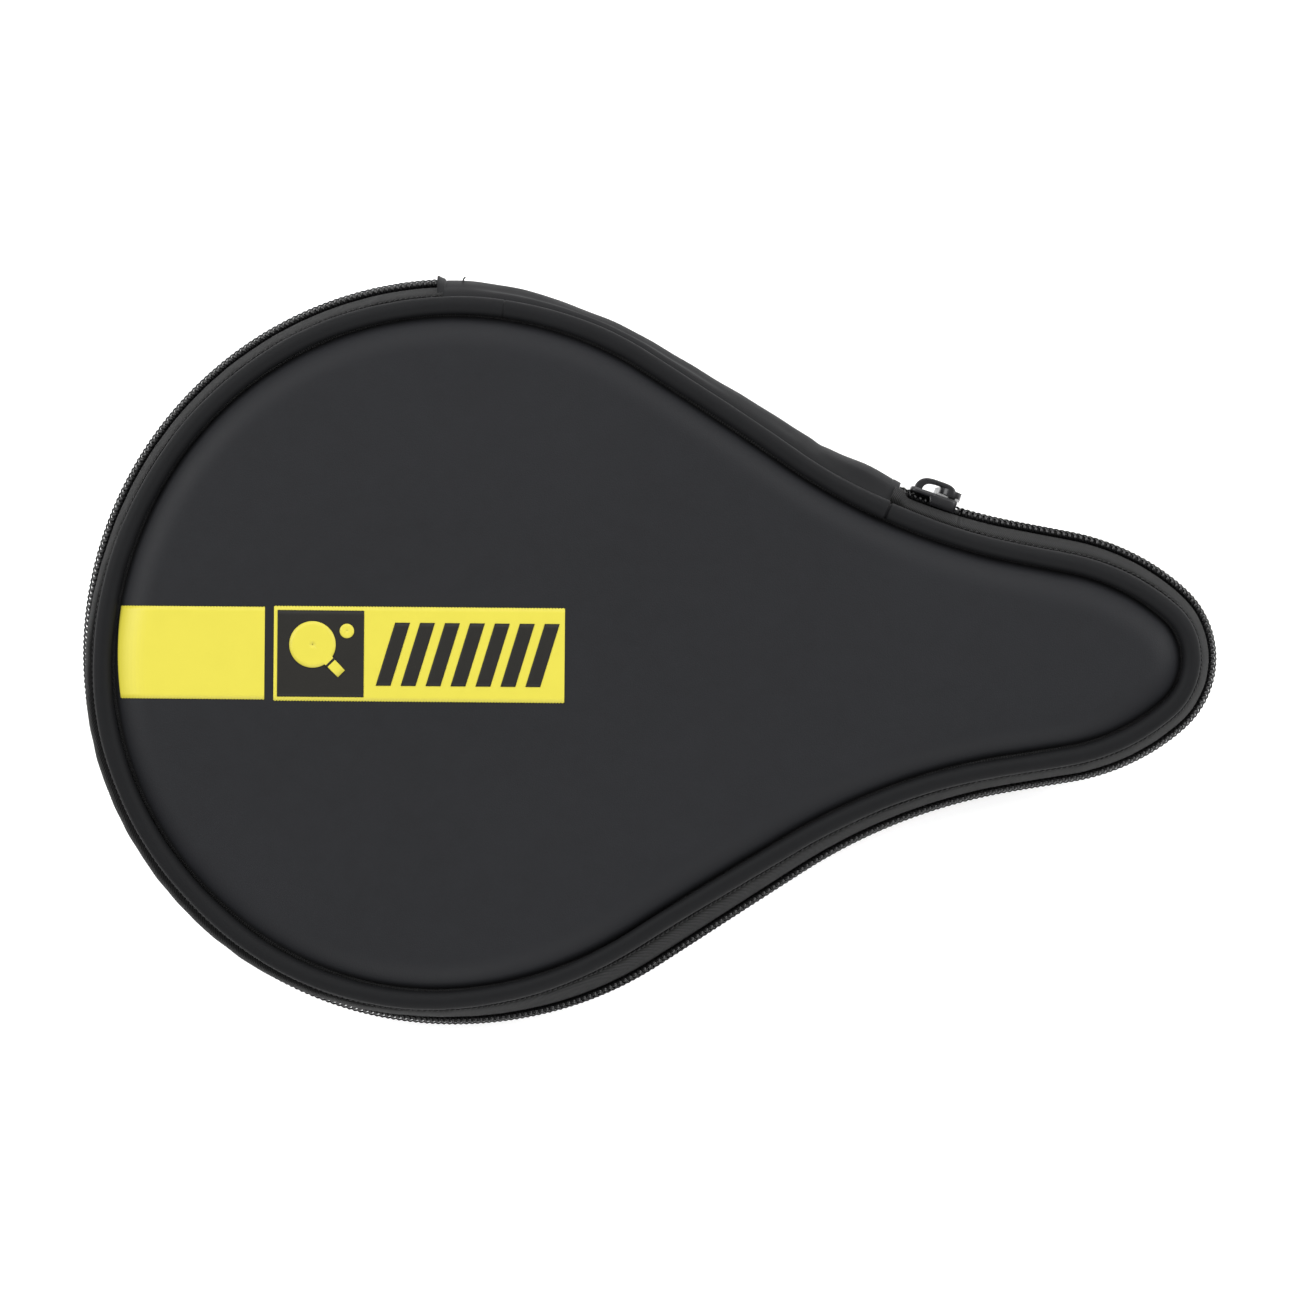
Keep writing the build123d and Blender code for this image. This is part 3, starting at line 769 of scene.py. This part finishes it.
tape_color = (0.008, 0.0081, 0.0083)
tape_material, tree, shader = new_material(
    "twill_zip_tape", tape_color, 0.7, Sheen_Weight=0.03, Sheen_Roughness=0.35, Specular_IOR_Level=0.12
)
lengths_map = add_node(tree, "ShaderNodeUVMap", uv_map="lengths").outputs[0]
where = object_space(tree)
weave = place_group(tree, twill_weave, Vector=lengths_map, Pitch=0.78 * MM, Thread=0.33 * MM, Slope=0.9)
tone = place_group(
    tree, cloth_tone, Vector=where, Color=(*tape_color, 1), Cloudiness=0.2, Lint=0.3, Roughness=0.68,
    Grain_Scale=2400.0,
)
lift = remap(tree, weave["Line"], 0.2, 0.95, 0.2, 2.8)
across = split(tree, lengths_map)[1]
# Painted shade: the tape's colour darkens towards its seam under the piping roll, where the wedge between
# them is shaded
lift = math(tree, "MULTIPLY", lift, remap(tree, across, seam_run - 1.0 * MM, seam_run, 1.0, 0.15))
feed(tree, shader, Base_Color=times(tree, tone["Color"], lift), Roughness=tone["Roughness"])
bump(tree, shader, weave["Height"], 0.8, 0.00022)

tape_thickness = 0.7 * MM
lid_zip_start = spine_low - 17.1 * MM
travel_end = spine_low - 24.6 * MM
zip_low = spine_high - ring_length


def strip_section(path, thickness):
    """A closed section from a path of (depth, height) points and the same path set inwards."""
    tangent = unit(np.gradient(path, axis=0))
    inner = path + thickness * np.stack([tangent[:, 1], -tangent[:, 0]], -1)
    return np.concatenate([path, inner[::-1]])


def strip_mesh(s, path, run, thickness, side, offset):
    """A strip of cloth carried along the rim. The path is its outer face, which an offset in depth
    for each length and path point is added to."""
    section = strip_section(path, thickness)
    w = section[None, :, 0] + np.concatenate([offset, offset[:, ::-1]], 1)
    points = rim(s[:, None], w, section[None, :, 1], side)
    over = np.concatenate([run, run[::-1] + thickness])
    return grid_mesh(points, capped=True, lengths=(s, np.append(over, over[0])))


def gap_at(s, closed, opened):
    """Height of the zip's inner edge: closed along the chain, and opened where the slider's post
    passes."""
    return closed + (opened - closed) * step_up(s, travel_end - 4 * MM, 4 * MM)


path_share = np.linspace(0, 1, len(tape_path))[None, :]
piping_stitch = stitch_rings(1.2 * MM, 0.3 * MM, 0.22 * MM)
tape_halves = (
    (1, "lid", lid_zip_start, ("lid_zip_tape", "lid_neck_tape")),
    (-1, "base", spine_low, ("base_zip_tape",)),
)
for side, body, end, stood_for in tape_halves:
    s = np.linspace(zip_low - 1.5 * MM, end, int((end - zip_low) / (1.2 * MM)))
    fade = np.clip((end - s) / (6 * MM), 0, 1)
    puffs = 0.1 * MM * wave(s, [7.3 * MM, 11 * MM, 17 * MM], 41 + side) * fade
    if side > 0:
        puffs = puffs - 1.9 * MM * at_corner(*outline(s)[0].T, radians(-145), radians(42))
    puffs = puffs[:, None] * np.sin(pi * path_share) ** 2
    mesh = strip_mesh(s, tape_path, tape_run, tape_thickness, side, puffs)
    tape = add_piece(f"{body}_twill_tape", mesh, tape_material, body, "zip_tape", *stood_for)
    s = np.arange(zip_low + 1 * MM, end - 0.8 * MM, 1.5 * MM)
    mesh = stitch_row(s, 5.32 * MM, 12.95 * MM, side, piping_stitch, (-0.7, 0.7), 0.45)
    add_piece(f"{body}_piping_stitches", mesh, thread_material, body, "zip_tape")

# The upper tape's last stretch beside the parked slider stays sewn to the base at its coil, so
# it bends between the two halves.
s = np.linspace(lid_zip_start, spine_low + 1.2 * MM, 24)
hump = -1.9 * MM * step_up(s, spine_low - 3.4 * MM, 2.6 * MM)[:, None]
hump = hump * np.sin(pi * path_share**0.6) ** 2
mesh = strip_mesh(s, tape_path, tape_run, tape_thickness, 1, hump)
tape_end = add_piece(
    "upper_tape_end", mesh, tape_material, None, "zip_tape", "lid_slider_tape", "zip_end_tape"
)
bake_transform(tape_end)


# ---- Zip coils ----
# A size 5 coil zip: one nylon monofilament wound into flat turns 1.5 mm apart, over a cord, and
# sewn to its tape with two rows of thread. The heads of the two coils lock between each other.
turn_pitch = 1.5 * MM
wire_radius = 0.34 * MM
top_radius = 0.47 * MM
coil_middle = 1.18 * MM
coil_half_width = 0.8 * MM
coil_top = 3.3 * MM
closed_head, open_head = -0.42 * MM, 0.72 * MM
coil_material, tree, shader = new_material(
    "nylon_monofilament", (0.0045, 0.0045, 0.005), 0.2, Specular_IOR_Level=0.6
)
where = object_space(tree)
feed(tree, shader, Roughness=remap(tree, noise(tree, where, 420.0), 0.3, 0.7, 0.14, 0.26))
bump(tree, shader, noise(tree, where, 3500.0), 0.2, 0.00008)


def coil_mesh(start, end, side, phase):
    """Turns of a flattened oval that stand on the tape's outer face. Their heads reach over the
    middle where the chain is closed, and back from it for the slider."""
    steps = 12
    turns = int((end - start) / turn_pitch)
    t = np.arange(turns * steps + 1) * 2 * pi / steps
    s = start + (np.arange(len(t)) / steps + phase) * turn_pitch
    low = gap_at(s, closed_head, open_head) + wire_radius
    high = coil_top - top_radius
    cosine, sine = np.cos(t), np.sin(t)
    w = coil_middle + coil_half_width * np.sign(cosine) * np.abs(cosine) ** 0.75
    h = (low + high) / 2 + (high - low) / 2 * np.sign(sine) * np.abs(sine) ** 0.85
    path = rim(s, w, h, side)
    middle = rim(s, np.full(s.shape, coil_middle), (low + high) / 2, side)
    flat = np.clip(np.abs(sine), 0, 1) ** 4
    size = wire_radius + np.where(sine > 0, top_radius - wire_radius, 0.06 * MM) * flat
    return grid_mesh(tube_rings(path, size, 7, middle - path), capped=True)


coil_spans = [
    ("lid", "lid_zip_coil", zip_low, lid_zip_start, 1, 0.0, "lid", "lid_coil"),
    ("base", "base_zip_coil", zip_low, spine_low, -1, 0.5, "base", "base_coil"),
    ("upper_end", "upper_end_coil", lid_zip_start, spine_low, 1, 0.0, "base", "zip_end_coil"),
]
for label, name, start, end, side, phase, body, frame_node in coil_spans:
    whole = np.ceil((start - zip_low) / turn_pitch) * turn_pitch + zip_low
    add_piece(name, coil_mesh(whole, end, side, phase), coil_material, body, "zip_coil", frame_node)
    s = np.arange(start + 0.1 * MM, end - 0.1 * MM, 1.2 * MM)
    middle = (gap_at(s, 0.0, 0.85 * MM) + coil_top) / 2
    cord = rim(s, np.full(s.shape, coil_middle + 0.36 * MM), middle, side)
    mesh = grid_mesh(tube_rings(cord, 0.74 * MM, 8, UP), capped=True)
    add_piece(f"{label}_coil_cord", mesh, thread_material, body, "zip_coil")
    s = np.arange(start + 0.1 * MM, end - 0.1 * MM, turn_pitch / 5)
    dip = 0.14 * MM * np.cos(2 * pi * (s - whole) / turn_pitch - 0.6)
    for number, height in enumerate((1.75 * MM, 2.6 * MM)):
        thread = rim(s, 0.2 * MM + dip, height, side)
        mesh = grid_mesh(tube_rings(thread, 0.15 * MM, 4, UP), capped=True)
        add_piece(f"{label}_coil_thread_{number + 1}", mesh, thread_material, body, "zip_coil")


# ---- Hinge spine ----
# Along one flank a strip of coated cloth joins the halves in place of the zip. Both of its ends
# are folded under and stitched down over the zip's ends, and a lining strip backs it.
spine_material = cloth_finish(
    "spine_strip_cloth", (0.0062, 0.0064, 0.0072), 0.62, (0.18, 0.35, 2600.0, 0.00012),
    Specular_IOR_Level=0.13,
)
spine_thickness = 0.85 * MM
backing_thickness = 0.45 * MM
hem_width = 2.2 * MM
spine_corners = [(9.8, 11.4), (6.6, 11.35), (4.35, 9.3), (2.35, 6.6), (0.95, 3.5), (0.3, 0.0)]
spine_corners = spine_corners + [(w, -h) for w, h in spine_corners[-2::-1]]
spine_path, spine_run = smooth_path(spine_corners, 41, 3)


def end_hem(s, path):
    """How far the spine's face stands out: the folded hem at both ends, a stitched dent along its
    inner edge, a lifted corner at the blade end, and the pull of the leaning lid."""
    x, height = outline(s)[0][:, 0], path[None, :, 1]
    from_end = np.minimum(s - spine_low, spine_high - s)[:, None]
    crisp = step_up(s, spine_low, spine_high - spine_low)[:, None] * 0.75 + 0.25
    fold = 0.5 * MM * crisp * (1 - step_up(from_end, hem_width - 0.3 * MM, 0.45 * MM))
    dent = crisp * bell(from_end, hem_width, 0.3 * MM, 0.22 * MM)
    lifted = bell(s, spine_high, 1.1 * MM, 0.75 * MM)[:, None]
    seam_fade = step_up(9.6 * MM - np.abs(height), 0.0, 3.0 * MM)
    soft = 0.14 * MM * wave(s, [13 * MM, 21 * MM, 34 * MM], 53)[:, None]
    kink = bell(s, spine_low + 24 * MM, 2.2 * MM, 0.35 * MM)[:, None]
    pulled = bell(x, 35 * MM, 33 * MM, 1.75 * MM) - bell(x, 109 * MM, 8 * MM, 1.2 * MM)
    ridge = np.sin(2 * pi * height / (9 * MM)) * wave(s, [27 * MM, 41 * MM], 57)[:, None]
    return (dent - fold - lifted + soft + kink + 0.1 * MM * ridge + pulled[:, None]) * seam_fade


def bend_at_hinge(piece):
    """Bakes a piece's transform into its mesh; the piece is not bent."""
    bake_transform(piece)


def spine_sheet(name, path, thickness, low, high, material, slot, *stands_for):
    """A strip that spans both halves, from one panel seam round the outside to the other."""
    s = fine_near(low, high, 1.3 * MM, [low + 1.5 * MM, high - 1.5 * MM], 2.4 * MM, 0.2 * MM)
    mesh = strip_mesh(s, path[::-1], spine_run, -thickness, 1, end_hem(s, path)[:, ::-1])
    piece = add_piece(name, mesh, material, None, slot, *stands_for)
    bend_at_hinge(piece)


spine_sheet(
    "hinge_spine_cloth", spine_path, spine_thickness, spine_low, spine_high, spine_material,
    "piping_cloth", "lid_spine", "base_spine",
)
backing_path = spine_path + np.stack([np.full(len(spine_path), 1.0 * MM), -0.06 * spine_path[:, 1]], -1)
spine_sheet(
    "hinge_spine_backing", backing_path, backing_thickness, spine_low + 0.5 * MM, spine_high - 0.5 * MM,
    lining_material, "lining_cloth", "lid_spine_lining", "base_spine_lining",
)

# Stitches that hold the spine's folded ends, and the thread tails left at them
end_stitch = stitch_rings(1.25 * MM, 0.17 * MM, 0.12 * MM)
for number, middle in enumerate((spine_low + hem_width, spine_high - hem_width)):
    heights = np.arange(-7.2, 7.3, 1.8) * MM
    depth = np.interp(heights, spine_path[::-1, 1], spine_path[::-1, 0])
    s = np.full(heights.shape, middle)
    here = rim(s, depth - 0.02 * MM, heights, 1)
    slope = np.gradient(depth, heights)[:, None]
    inward = outline(s)[1]
    x = unit(np.concatenate([inward * slope, np.ones((len(s), 1))], 1))
    z = square_to(-np.concatenate([inward, np.zeros((len(s), 1))], 1), x)
    mesh = repeated(end_stitch, here, np.stack([x, np.cross(z, x), z], 1))
    name = f"spine_end_stitches_{number + 1}"
    bend_at_hinge(add_piece(name, mesh, thread_material, None, "piping_cloth"))

for number, (at_s, lean_to) in enumerate(((spine_low + 9 * MM, 1), (spine_high - 6.8 * MM, -1))):
    run = np.linspace(0, 1, 7)
    s = at_s + lean_to * 0.7 * MM * run**2
    w = 1.0 * MM - 1.5 * MM * run - 0.2 * MM * np.sin(pi * run)
    path = rim(s, w, 3.4 * MM + 0.5 * MM * run, 1)
    size = np.array([0.2, 0.22, 0.2, 0.24, 0.22, 0.2, 0.1]) * MM
    mesh = grid_mesh(tube_rings(path, size, 6, UP), capped=True)
    add_piece(f"thread_tail_{number + 1}", mesh, thread_material, "lid", "piping_cloth")

# The bar tack that closes the zip's end beside the spine: dense stitches over both tapes
s = spine_low - 0.5 * MM - np.arange(6) * 0.28 * MM
path = rim(np.repeat(s, 2), np.full(12, 2.55 * MM), np.tile([1.5, -1.5, -1.5, 1.5], 3) * MM, 1)
legs = [np.linspace(path[n], path[n + 1], 5, endpoint=False) for n in range(len(path) - 1)]
wrap = tube_rings(np.concatenate([*legs, path[-1:]]), 0.17 * MM, 6, np.append(outline(spine_low)[1], 0.0))
tack_mesh = grid_mesh(wrap, capped=True)
add_piece("zip_end_bar_tack", tack_mesh, thread_material, "base", "zip_tape", "zip_bar_tack")


# ---- Slider and puller ----
# A black-plated zinc slider: a front and a back plate joined by a post, with rims curled round
# the coils, a cast bridge on the front plate, and a puller hooked under the bridge.
metal_color = (0.011, 0.011, 0.0125)
metal_material, tree, shader = new_material(
    "black_plated_zinc", metal_color, 0.32, Metallic=0.2, Specular_IOR_Level=0.4, Coat_Weight=0.15,
    Coat_Roughness=0.25,
)
where = object_space(tree)
handled = remap(tree, noise(tree, where, 260.0, 4.0), 0.3, 0.7, 0.22, 0.4)
scuffs = add_node(tree, "ShaderNodeMapping", [("Vector", where), ("Scale", (700.0, 700.0, 90.0))])
scuffed = math(tree, "GREATER_THAN", noise(tree, scuffs.outputs[0], 1.0, 2.0), 0.68)
bare = math(tree, "MULTIPLY", scuffed, 0.15)
feed(
    tree, shader, Roughness=math(tree, "MULTIPLY_ADD", scuffed, 0.14, handled),
    Base_Color=mix(tree, bare, (*metal_color, 1), (0.09, 0.09, 0.095, 1)),
)
bump(tree, shader, noise(tree, where, 900.0), 0.15, 0.00015)

slider_s = spine_low - 9.5 * MM
slider_point, slider_inward = (part[0] for part in outline(np.array([slider_s])))
slider_along = np.array([-slider_inward[1], slider_inward[0]])
if slider_along[0] < 0:
    slider_along = -slider_along


def rounded_section(width, height, radius, count=5):
    """A closed section of a rectangle with rounded corners."""
    quarter = np.linspace(0, pi / 2, count)
    points = []
    for number, (across, up) in enumerate(((1, 1), (-1, 1), (-1, -1), (1, -1))):
        angle = quarter + number * pi / 2
        centre = np.array([across * (width / 2 - radius), up * (height / 2 - radius)])
        points.append(centre + radius * np.stack([np.cos(angle), np.sin(angle)], -1))
    return np.concatenate(points)


def ring_at(x, section):
    """A section as a ring at one place along the slider's first axis."""
    return np.stack([np.full(len(section), x), section[:, 0], section[:, 1]], -1)


def bevelled_box(centre, size, radius):
    """Rings of a block with rounded edges along its first axis."""
    length, width, height = size
    turn = np.linspace(0, pi / 2, 4)
    inset = radius * (1 - np.sin(turn))
    set_back = radius * (1 - np.cos(turn))
    run = np.concatenate([-length / 2 + set_back, (length / 2 - set_back)[::-1]])
    rings = []
    for x, less in zip(run, np.concatenate([inset, inset[::-1]])):
        corner = max(radius - less, 0.05 * MM)
        rings.append(ring_at(x, rounded_section(width - 2 * less, height - 2 * less, corner)))
    return np.array(rings) + centre


# Body: each plate's section is carried along the slider, whose wide end faces the spine
body_length = 12.9 * MM
half_wide = 4.66 * MM
half_narrow = 4.2 * MM


def plate_rings(out_face, in_face, rim_reach, rim_thickness, edge):
    """Rings of a plate with rims curled inwards. Its faces, and how far the rims go, are heights
    out of the case. Its ends are rounded in plan and bevelled."""
    u = -np.cos(np.linspace(0, 1, 23) * pi) * body_length / 2
    u = np.unique(np.concatenate([u, np.linspace(-1.3, -0.2, 8) * MM]))
    taper = half_wide + (half_narrow - half_wide) * step_up(u, -1 * MM, 6 * MM)
    end_round = np.sqrt(np.clip(1 - (np.abs(u) / (body_length / 2)) ** 9, 0.0, 1))
    half = taper * (0.72 + 0.28 * end_round)
    soft = 1 - np.clip((np.abs(u) - body_length / 2 + edge) / edge, 0, 1) ** 2 * 0.35
    # The rims leave the front of the slider open, where the two coils come apart
    stub = in_face - 0.45 * MM
    reach = stub + (rim_reach - stub) * step_up(u, -1.2 * MM, 0.9 * MM)
    rings = []
    for x, wide, thin, tip in zip(u, half, soft, reach):
        up = out_face - edge * (1 - thin)
        inner = wide - rim_thickness
        section = [
            (up, 0.0), (up, wide * 0.6), (up - 0.05 * MM, wide - 0.5 * MM),
            (up - 0.3 * MM, wide - 0.12 * MM), (up - 0.75 * MM, wide), (tip + 0.2 * MM, wide),
            (tip, wide - 0.2 * MM), (tip, inner + 0.2 * MM), (tip + 0.2 * MM, inner),
            (in_face - 0.3 * MM, inner), (in_face, inner - 0.25 * MM), (in_face, 0.0),
        ]
        rings.append(ring_at(x, np.array(section + [(o, -v) for o, v in section[-2:0:-1]])))
    return np.array(rings)


def slider_piece(name, ring_sets, stands_for):
    """One metal piece from closed sets of rings. Their points are lengths along the zip towards
    the handle end, out of the case and up, from the middle of the parked slider."""
    whole = bmesh.new()
    for rings in ring_sets:
        plan = slider_point + rings[..., :1] * slider_along - rings[..., 1:2] * slider_inward
        points = np.concatenate([plan, zip_level + rings[..., 2:]], -1)
        whole.from_mesh(grid_mesh(points, capped=True))
    mesh = bpy.data.meshes.new(name)
    whole.to_mesh(mesh)
    whole.free()
    add_piece(name, mesh, metal_material, "slider", "slider_metal", stands_for)


front = plate_rings(1.42 * MM, 0.42 * MM, -2.05 * MM, 0.78 * MM, 0.5 * MM)
back = plate_rings(-3.95 * MM, -4.85 * MM, -4.9 * MM, 0.8 * MM, 0.3 * MM)
post = bevelled_box(np.array([-3.2 * MM, -1.8 * MM, 0.0]), (3.4 * MM, 5.4 * MM, 1.2 * MM), 0.45 * MM)
slider_piece("zip_slider_body", [front, back, post], "slider_body")

# Bridge: a flat bar bent into an arch along the front plate, thicker at its feet
bridge_span, bridge_rise, bridge_width = 9.3 * MM, 3.5 * MM, 2.3 * MM
turn = np.linspace(0, pi, 33)
arch_u = -bridge_span / 2 * np.sign(np.cos(turn)) * np.abs(np.cos(turn)) ** 0.62
arch_o = 0.9 * MM + bridge_rise * np.sin(turn) ** 0.62
arch = np.stack([arch_u + 0.45 * MM * np.sin(turn), arch_o], -1)
arch[1:-1] = (arch[:-2] + 2 * arch[1:-1] + arch[2:]) / 4
ahead = unit(np.gradient(arch, axis=0))
normal = np.stack([-ahead[:, 1], ahead[:, 0]], -1)
thick = (1.35 + 0.75 * np.abs(np.cos(turn)) ** 1.5) * MM
rings = []
for centre, across, height in zip(arch, normal, thick):
    section = rounded_section(height, bridge_width, 0.42 * MM)
    rings.append(np.concatenate([centre + section[:, :1] * across, section[:, 1:]], 1))
slider_piece("zip_slider_bridge", [np.array(rings)], "slider_bridge")

# Puller: a cast plate with a ring at its top, round the bridge's tail leg, and a raised grip
puller_node = bpy.data.objects["puller"]
for held in puller_node.material_slots:
    held.material = metal_material
weld = puller_node.modifiers.new("joined faces", "WELD")
weld.merge_threshold = 0.005 * MM
bevel = puller_node.modifiers.new("softened edges", "BEVEL")
bevel.width = 0.28 * MM
bevel.segments = 3
bevel.limit_method = "ANGLE"
bevel.angle_limit = radians(40)


# ---- Printed film ----
# Screen-printed film on the front: a yellow band in two fields, and on it a black square with a
# plain bat and ball, and a row of slanted black bars.
yellow_material = cloth_finish(
    "yellow_film", (0.53, 0.469, 0.045), 0.45, (0.03, 0.0, 2600.0, 0.00008), strength=0.25,
    Specular_IOR_Level=0.4,
)
black_material = cloth_finish(
    "black_film", (0.0085, 0.0078, 0.0062), 0.55, (0.08, 0.3, 2600.0, 0.00008), Specular_IOR_Level=0.25,
)
yellow, black = (yellow_material, "print_yellow"), (black_material, "print_black")
print_middle, film_pitch = -1.0 * MM, 0.2 * MM
on_skin, on_band, on_square, on_bat = 0.16 * MM, 0.28 * MM, 0.4 * MM, 0.52 * MM


def pressed_film(name, plan, lift, ink, *stands_for, closed_v=False):
    """A film dropped straight onto the front skin, lifted by the layers of ink under it."""
    points = np.concatenate([plan, np.full(plan.shape[:2] + (1,), zip_level + 30 * MM)], -1)
    film = bpy.data.objects.new(name, grid_mesh(points, closed_v=closed_v))
    bpy.context.scene.collection.objects.link(film)
    press = film.modifiers.new("pressed on", "SHRINKWRAP")
    press.target = skins["lid"]
    press.wrap_method = "PROJECT"
    press.use_project_z = True
    press.use_negative_direction = True
    press.use_positive_direction = False
    press.offset = lift
    wall = film.modifiers.new("film", "SOLIDIFY")
    wall.thickness = 0.1 * MM
    wall.offset = -1
    shaped = bpy.data.meshes.new_from_object(film.evaluated_get(bpy.context.evaluated_depsgraph_get()))
    bpy.data.objects.remove(film)
    shaped.materials.clear()
    material, slot = ink
    add_piece(name, shaped, material, "lid", slot, *stands_for, merge=0.002 * MM)


def field_plan(left, right, height, toothing, edge_radius=None):
    """Plan grid of a rectangle centred on the print's middle line, whose long edges are toothed
    where ink has run along threads. With an edge radius its left end is an arc in the seam."""
    share = np.linspace(0, 1, int((right - left) / film_pitch) + 1)[:, None]
    v = np.linspace(-1, 1, max(9, int(height / (1.2 * MM))))
    y = print_middle + v[None, :] * height / 2
    tooth = toothing * (np.arange(len(share)) % 4 < 2)
    y = y - (np.sign(v) * np.abs(v) ** 12)[None, :] * tooth[:, None]
    start = left if edge_radius is None else -np.sqrt(edge_radius**2 - y**2)
    return np.stack(np.broadcast_arrays(start + share * (right - start), y), -1)


seam_radius = blade_radius - panel_inset + 0.45 * MM
band_end = field_plan(-88.4 * MM, -49.9 * MM, 24.4 * MM, 0.1 * MM, seam_radius)
band_main = field_plan(-47.5 * MM, 28.9 * MM, 25 * MM, 0.16 * MM)
square_field = field_plan(-46.55 * MM, -23.8 * MM, 22.8 * MM, 0.06 * MM)
pressed_film("print_band_end", band_end, on_skin, yellow, "print_small_field")
pressed_film("print_band_main", band_main, on_skin, yellow, "print_large_field")
pressed_film("print_square_field", square_field, on_band, black, "print_square")


def round_plan(centre, outline_radius, rings=7):
    """Plan grid of a shape round a centre, whose radius is given for each angle."""
    t = np.arange(len(outline_radius)) * 2 * pi / len(outline_radius)
    share = np.linspace(1, 0.02, rings)[:, None]
    x = centre[0] + share * outline_radius * np.cos(t)
    y = centre[1] + share * outline_radius * np.sin(t)
    return np.stack([x, y], -1)


# Bat: a round blade and a straight handle in one outline, with a collar, and a ball beside it
bat_centre, ball_centre = np.array([-37.3, 1.4]) * MM, np.array([-28.3, 5.0]) * MM
bat_blade, bat_length, bat_grip, ball_radius = 6.1 * MM, 10.8 * MM, 1.35 * MM, 1.9 * MM
bat_turn = radians(-45)
t = np.arange(160) * 2 * pi / 160
off_axis = np.mod(t - bat_turn + pi, 2 * pi) - pi
with np.errstate(divide="ignore"):
    to_end = bat_length / np.maximum(np.cos(off_axis), 1e-6)
    handle_reach = np.minimum(to_end, bat_grip / np.abs(np.sin(off_axis)))
bat_radius = np.where(np.abs(off_axis) < pi / 2, np.maximum(handle_reach, bat_blade), bat_blade)
pressed_film("print_bat", round_plan(bat_centre, bat_radius), on_square, yellow, closed_v=True)
ball_plan = round_plan(ball_centre, np.full(48, ball_radius), 4)
pressed_film("print_ball", ball_plan, on_square, yellow, closed_v=True)
grip_line = np.array([cos(bat_turn), sin(bat_turn)])
grip_across = np.array([-grip_line[1], grip_line[0]])
u, v = np.meshgrid(np.linspace(6.35, 7.0, 3) * MM, np.linspace(-1.7, 1.7, 7) * MM, indexing="ij")
collar = bat_centre + u[..., None] * grip_line + v[..., None] * grip_across
pressed_film("print_bat_collar", collar, on_bat, black)

bar_count, bar_width, bar_height, bar_slant = 7, 3.9 * MM, 16.6 * MM, 0.3
first_bar, bar_pitch = -16.2 * MM, 6.55 * MM
across, up = np.linspace(-0.5, 0.5, 9) * bar_width, np.linspace(-0.5, 0.5, 15) * bar_height
u, v = np.meshgrid(across, up, indexing="ij")
for number in range(bar_count):
    middle = first_bar + number * bar_pitch
    plan = np.stack([middle + u + bar_slant * v, print_middle + v], -1)
    pressed_film(f"print_bar_{number + 1}", plan, on_band, black)


# ---- Floor and lights ----
# A plain pale floor under the case, with large soft lights round it and a soft sky.
floor_mesh = bpy.data.meshes.new("floor")
floor_mesh.from_pydata([(-4, -4, 0), (4, -4, 0), (4, 4, 0), (-4, 4, 0)], [], [(0, 1, 2, 3)])
floor_material, _, _ = new_material(
    "pale_floor", (0.95, 0.95, 0.95), 0.9, Specular_IOR_Level=0.0, Emission_Strength=0.3
)
floor_mesh.materials.append(floor_material)
floor = bpy.data.objects.new("floor", floor_mesh)
bpy.context.scene.collection.objects.link(floor)

sky = bpy.data.worlds.new("sky")
sky.use_nodes = True
sky.node_tree.nodes["Background"].inputs["Color"].default_value = (1, 1, 1, 1)
sky.node_tree.nodes["Background"].inputs["Strength"].default_value = 0.55
bpy.context.scene.world = sky
bpy.context.scene.view_settings.view_transform = "Standard"

light_aim = Vector((0.05, 0, 0))
for name, stand, size, power in (
    ("left_softbox", (-1.1, 0.5, 1.0), 1.0, 16),
    ("right_softbox", (1.3, 0.5, 1.0), 1.0, 16),
    ("far_softbox", (0.1, 1.4, 0.9), 1.2, 14),
    ("near_softbox", (0.1, -1.4, 1.0), 1.2, 14),
):
    light_data = bpy.data.lights.new(name, "AREA")
    light_data.size = size
    light_data.energy = power
    light = bpy.data.objects.new(name, light_data)
    light.location = stand
    light.rotation_euler = (light_aim - light.location).to_track_quat("-Z", "Y").to_euler()
    bpy.context.scene.collection.objects.link(light)
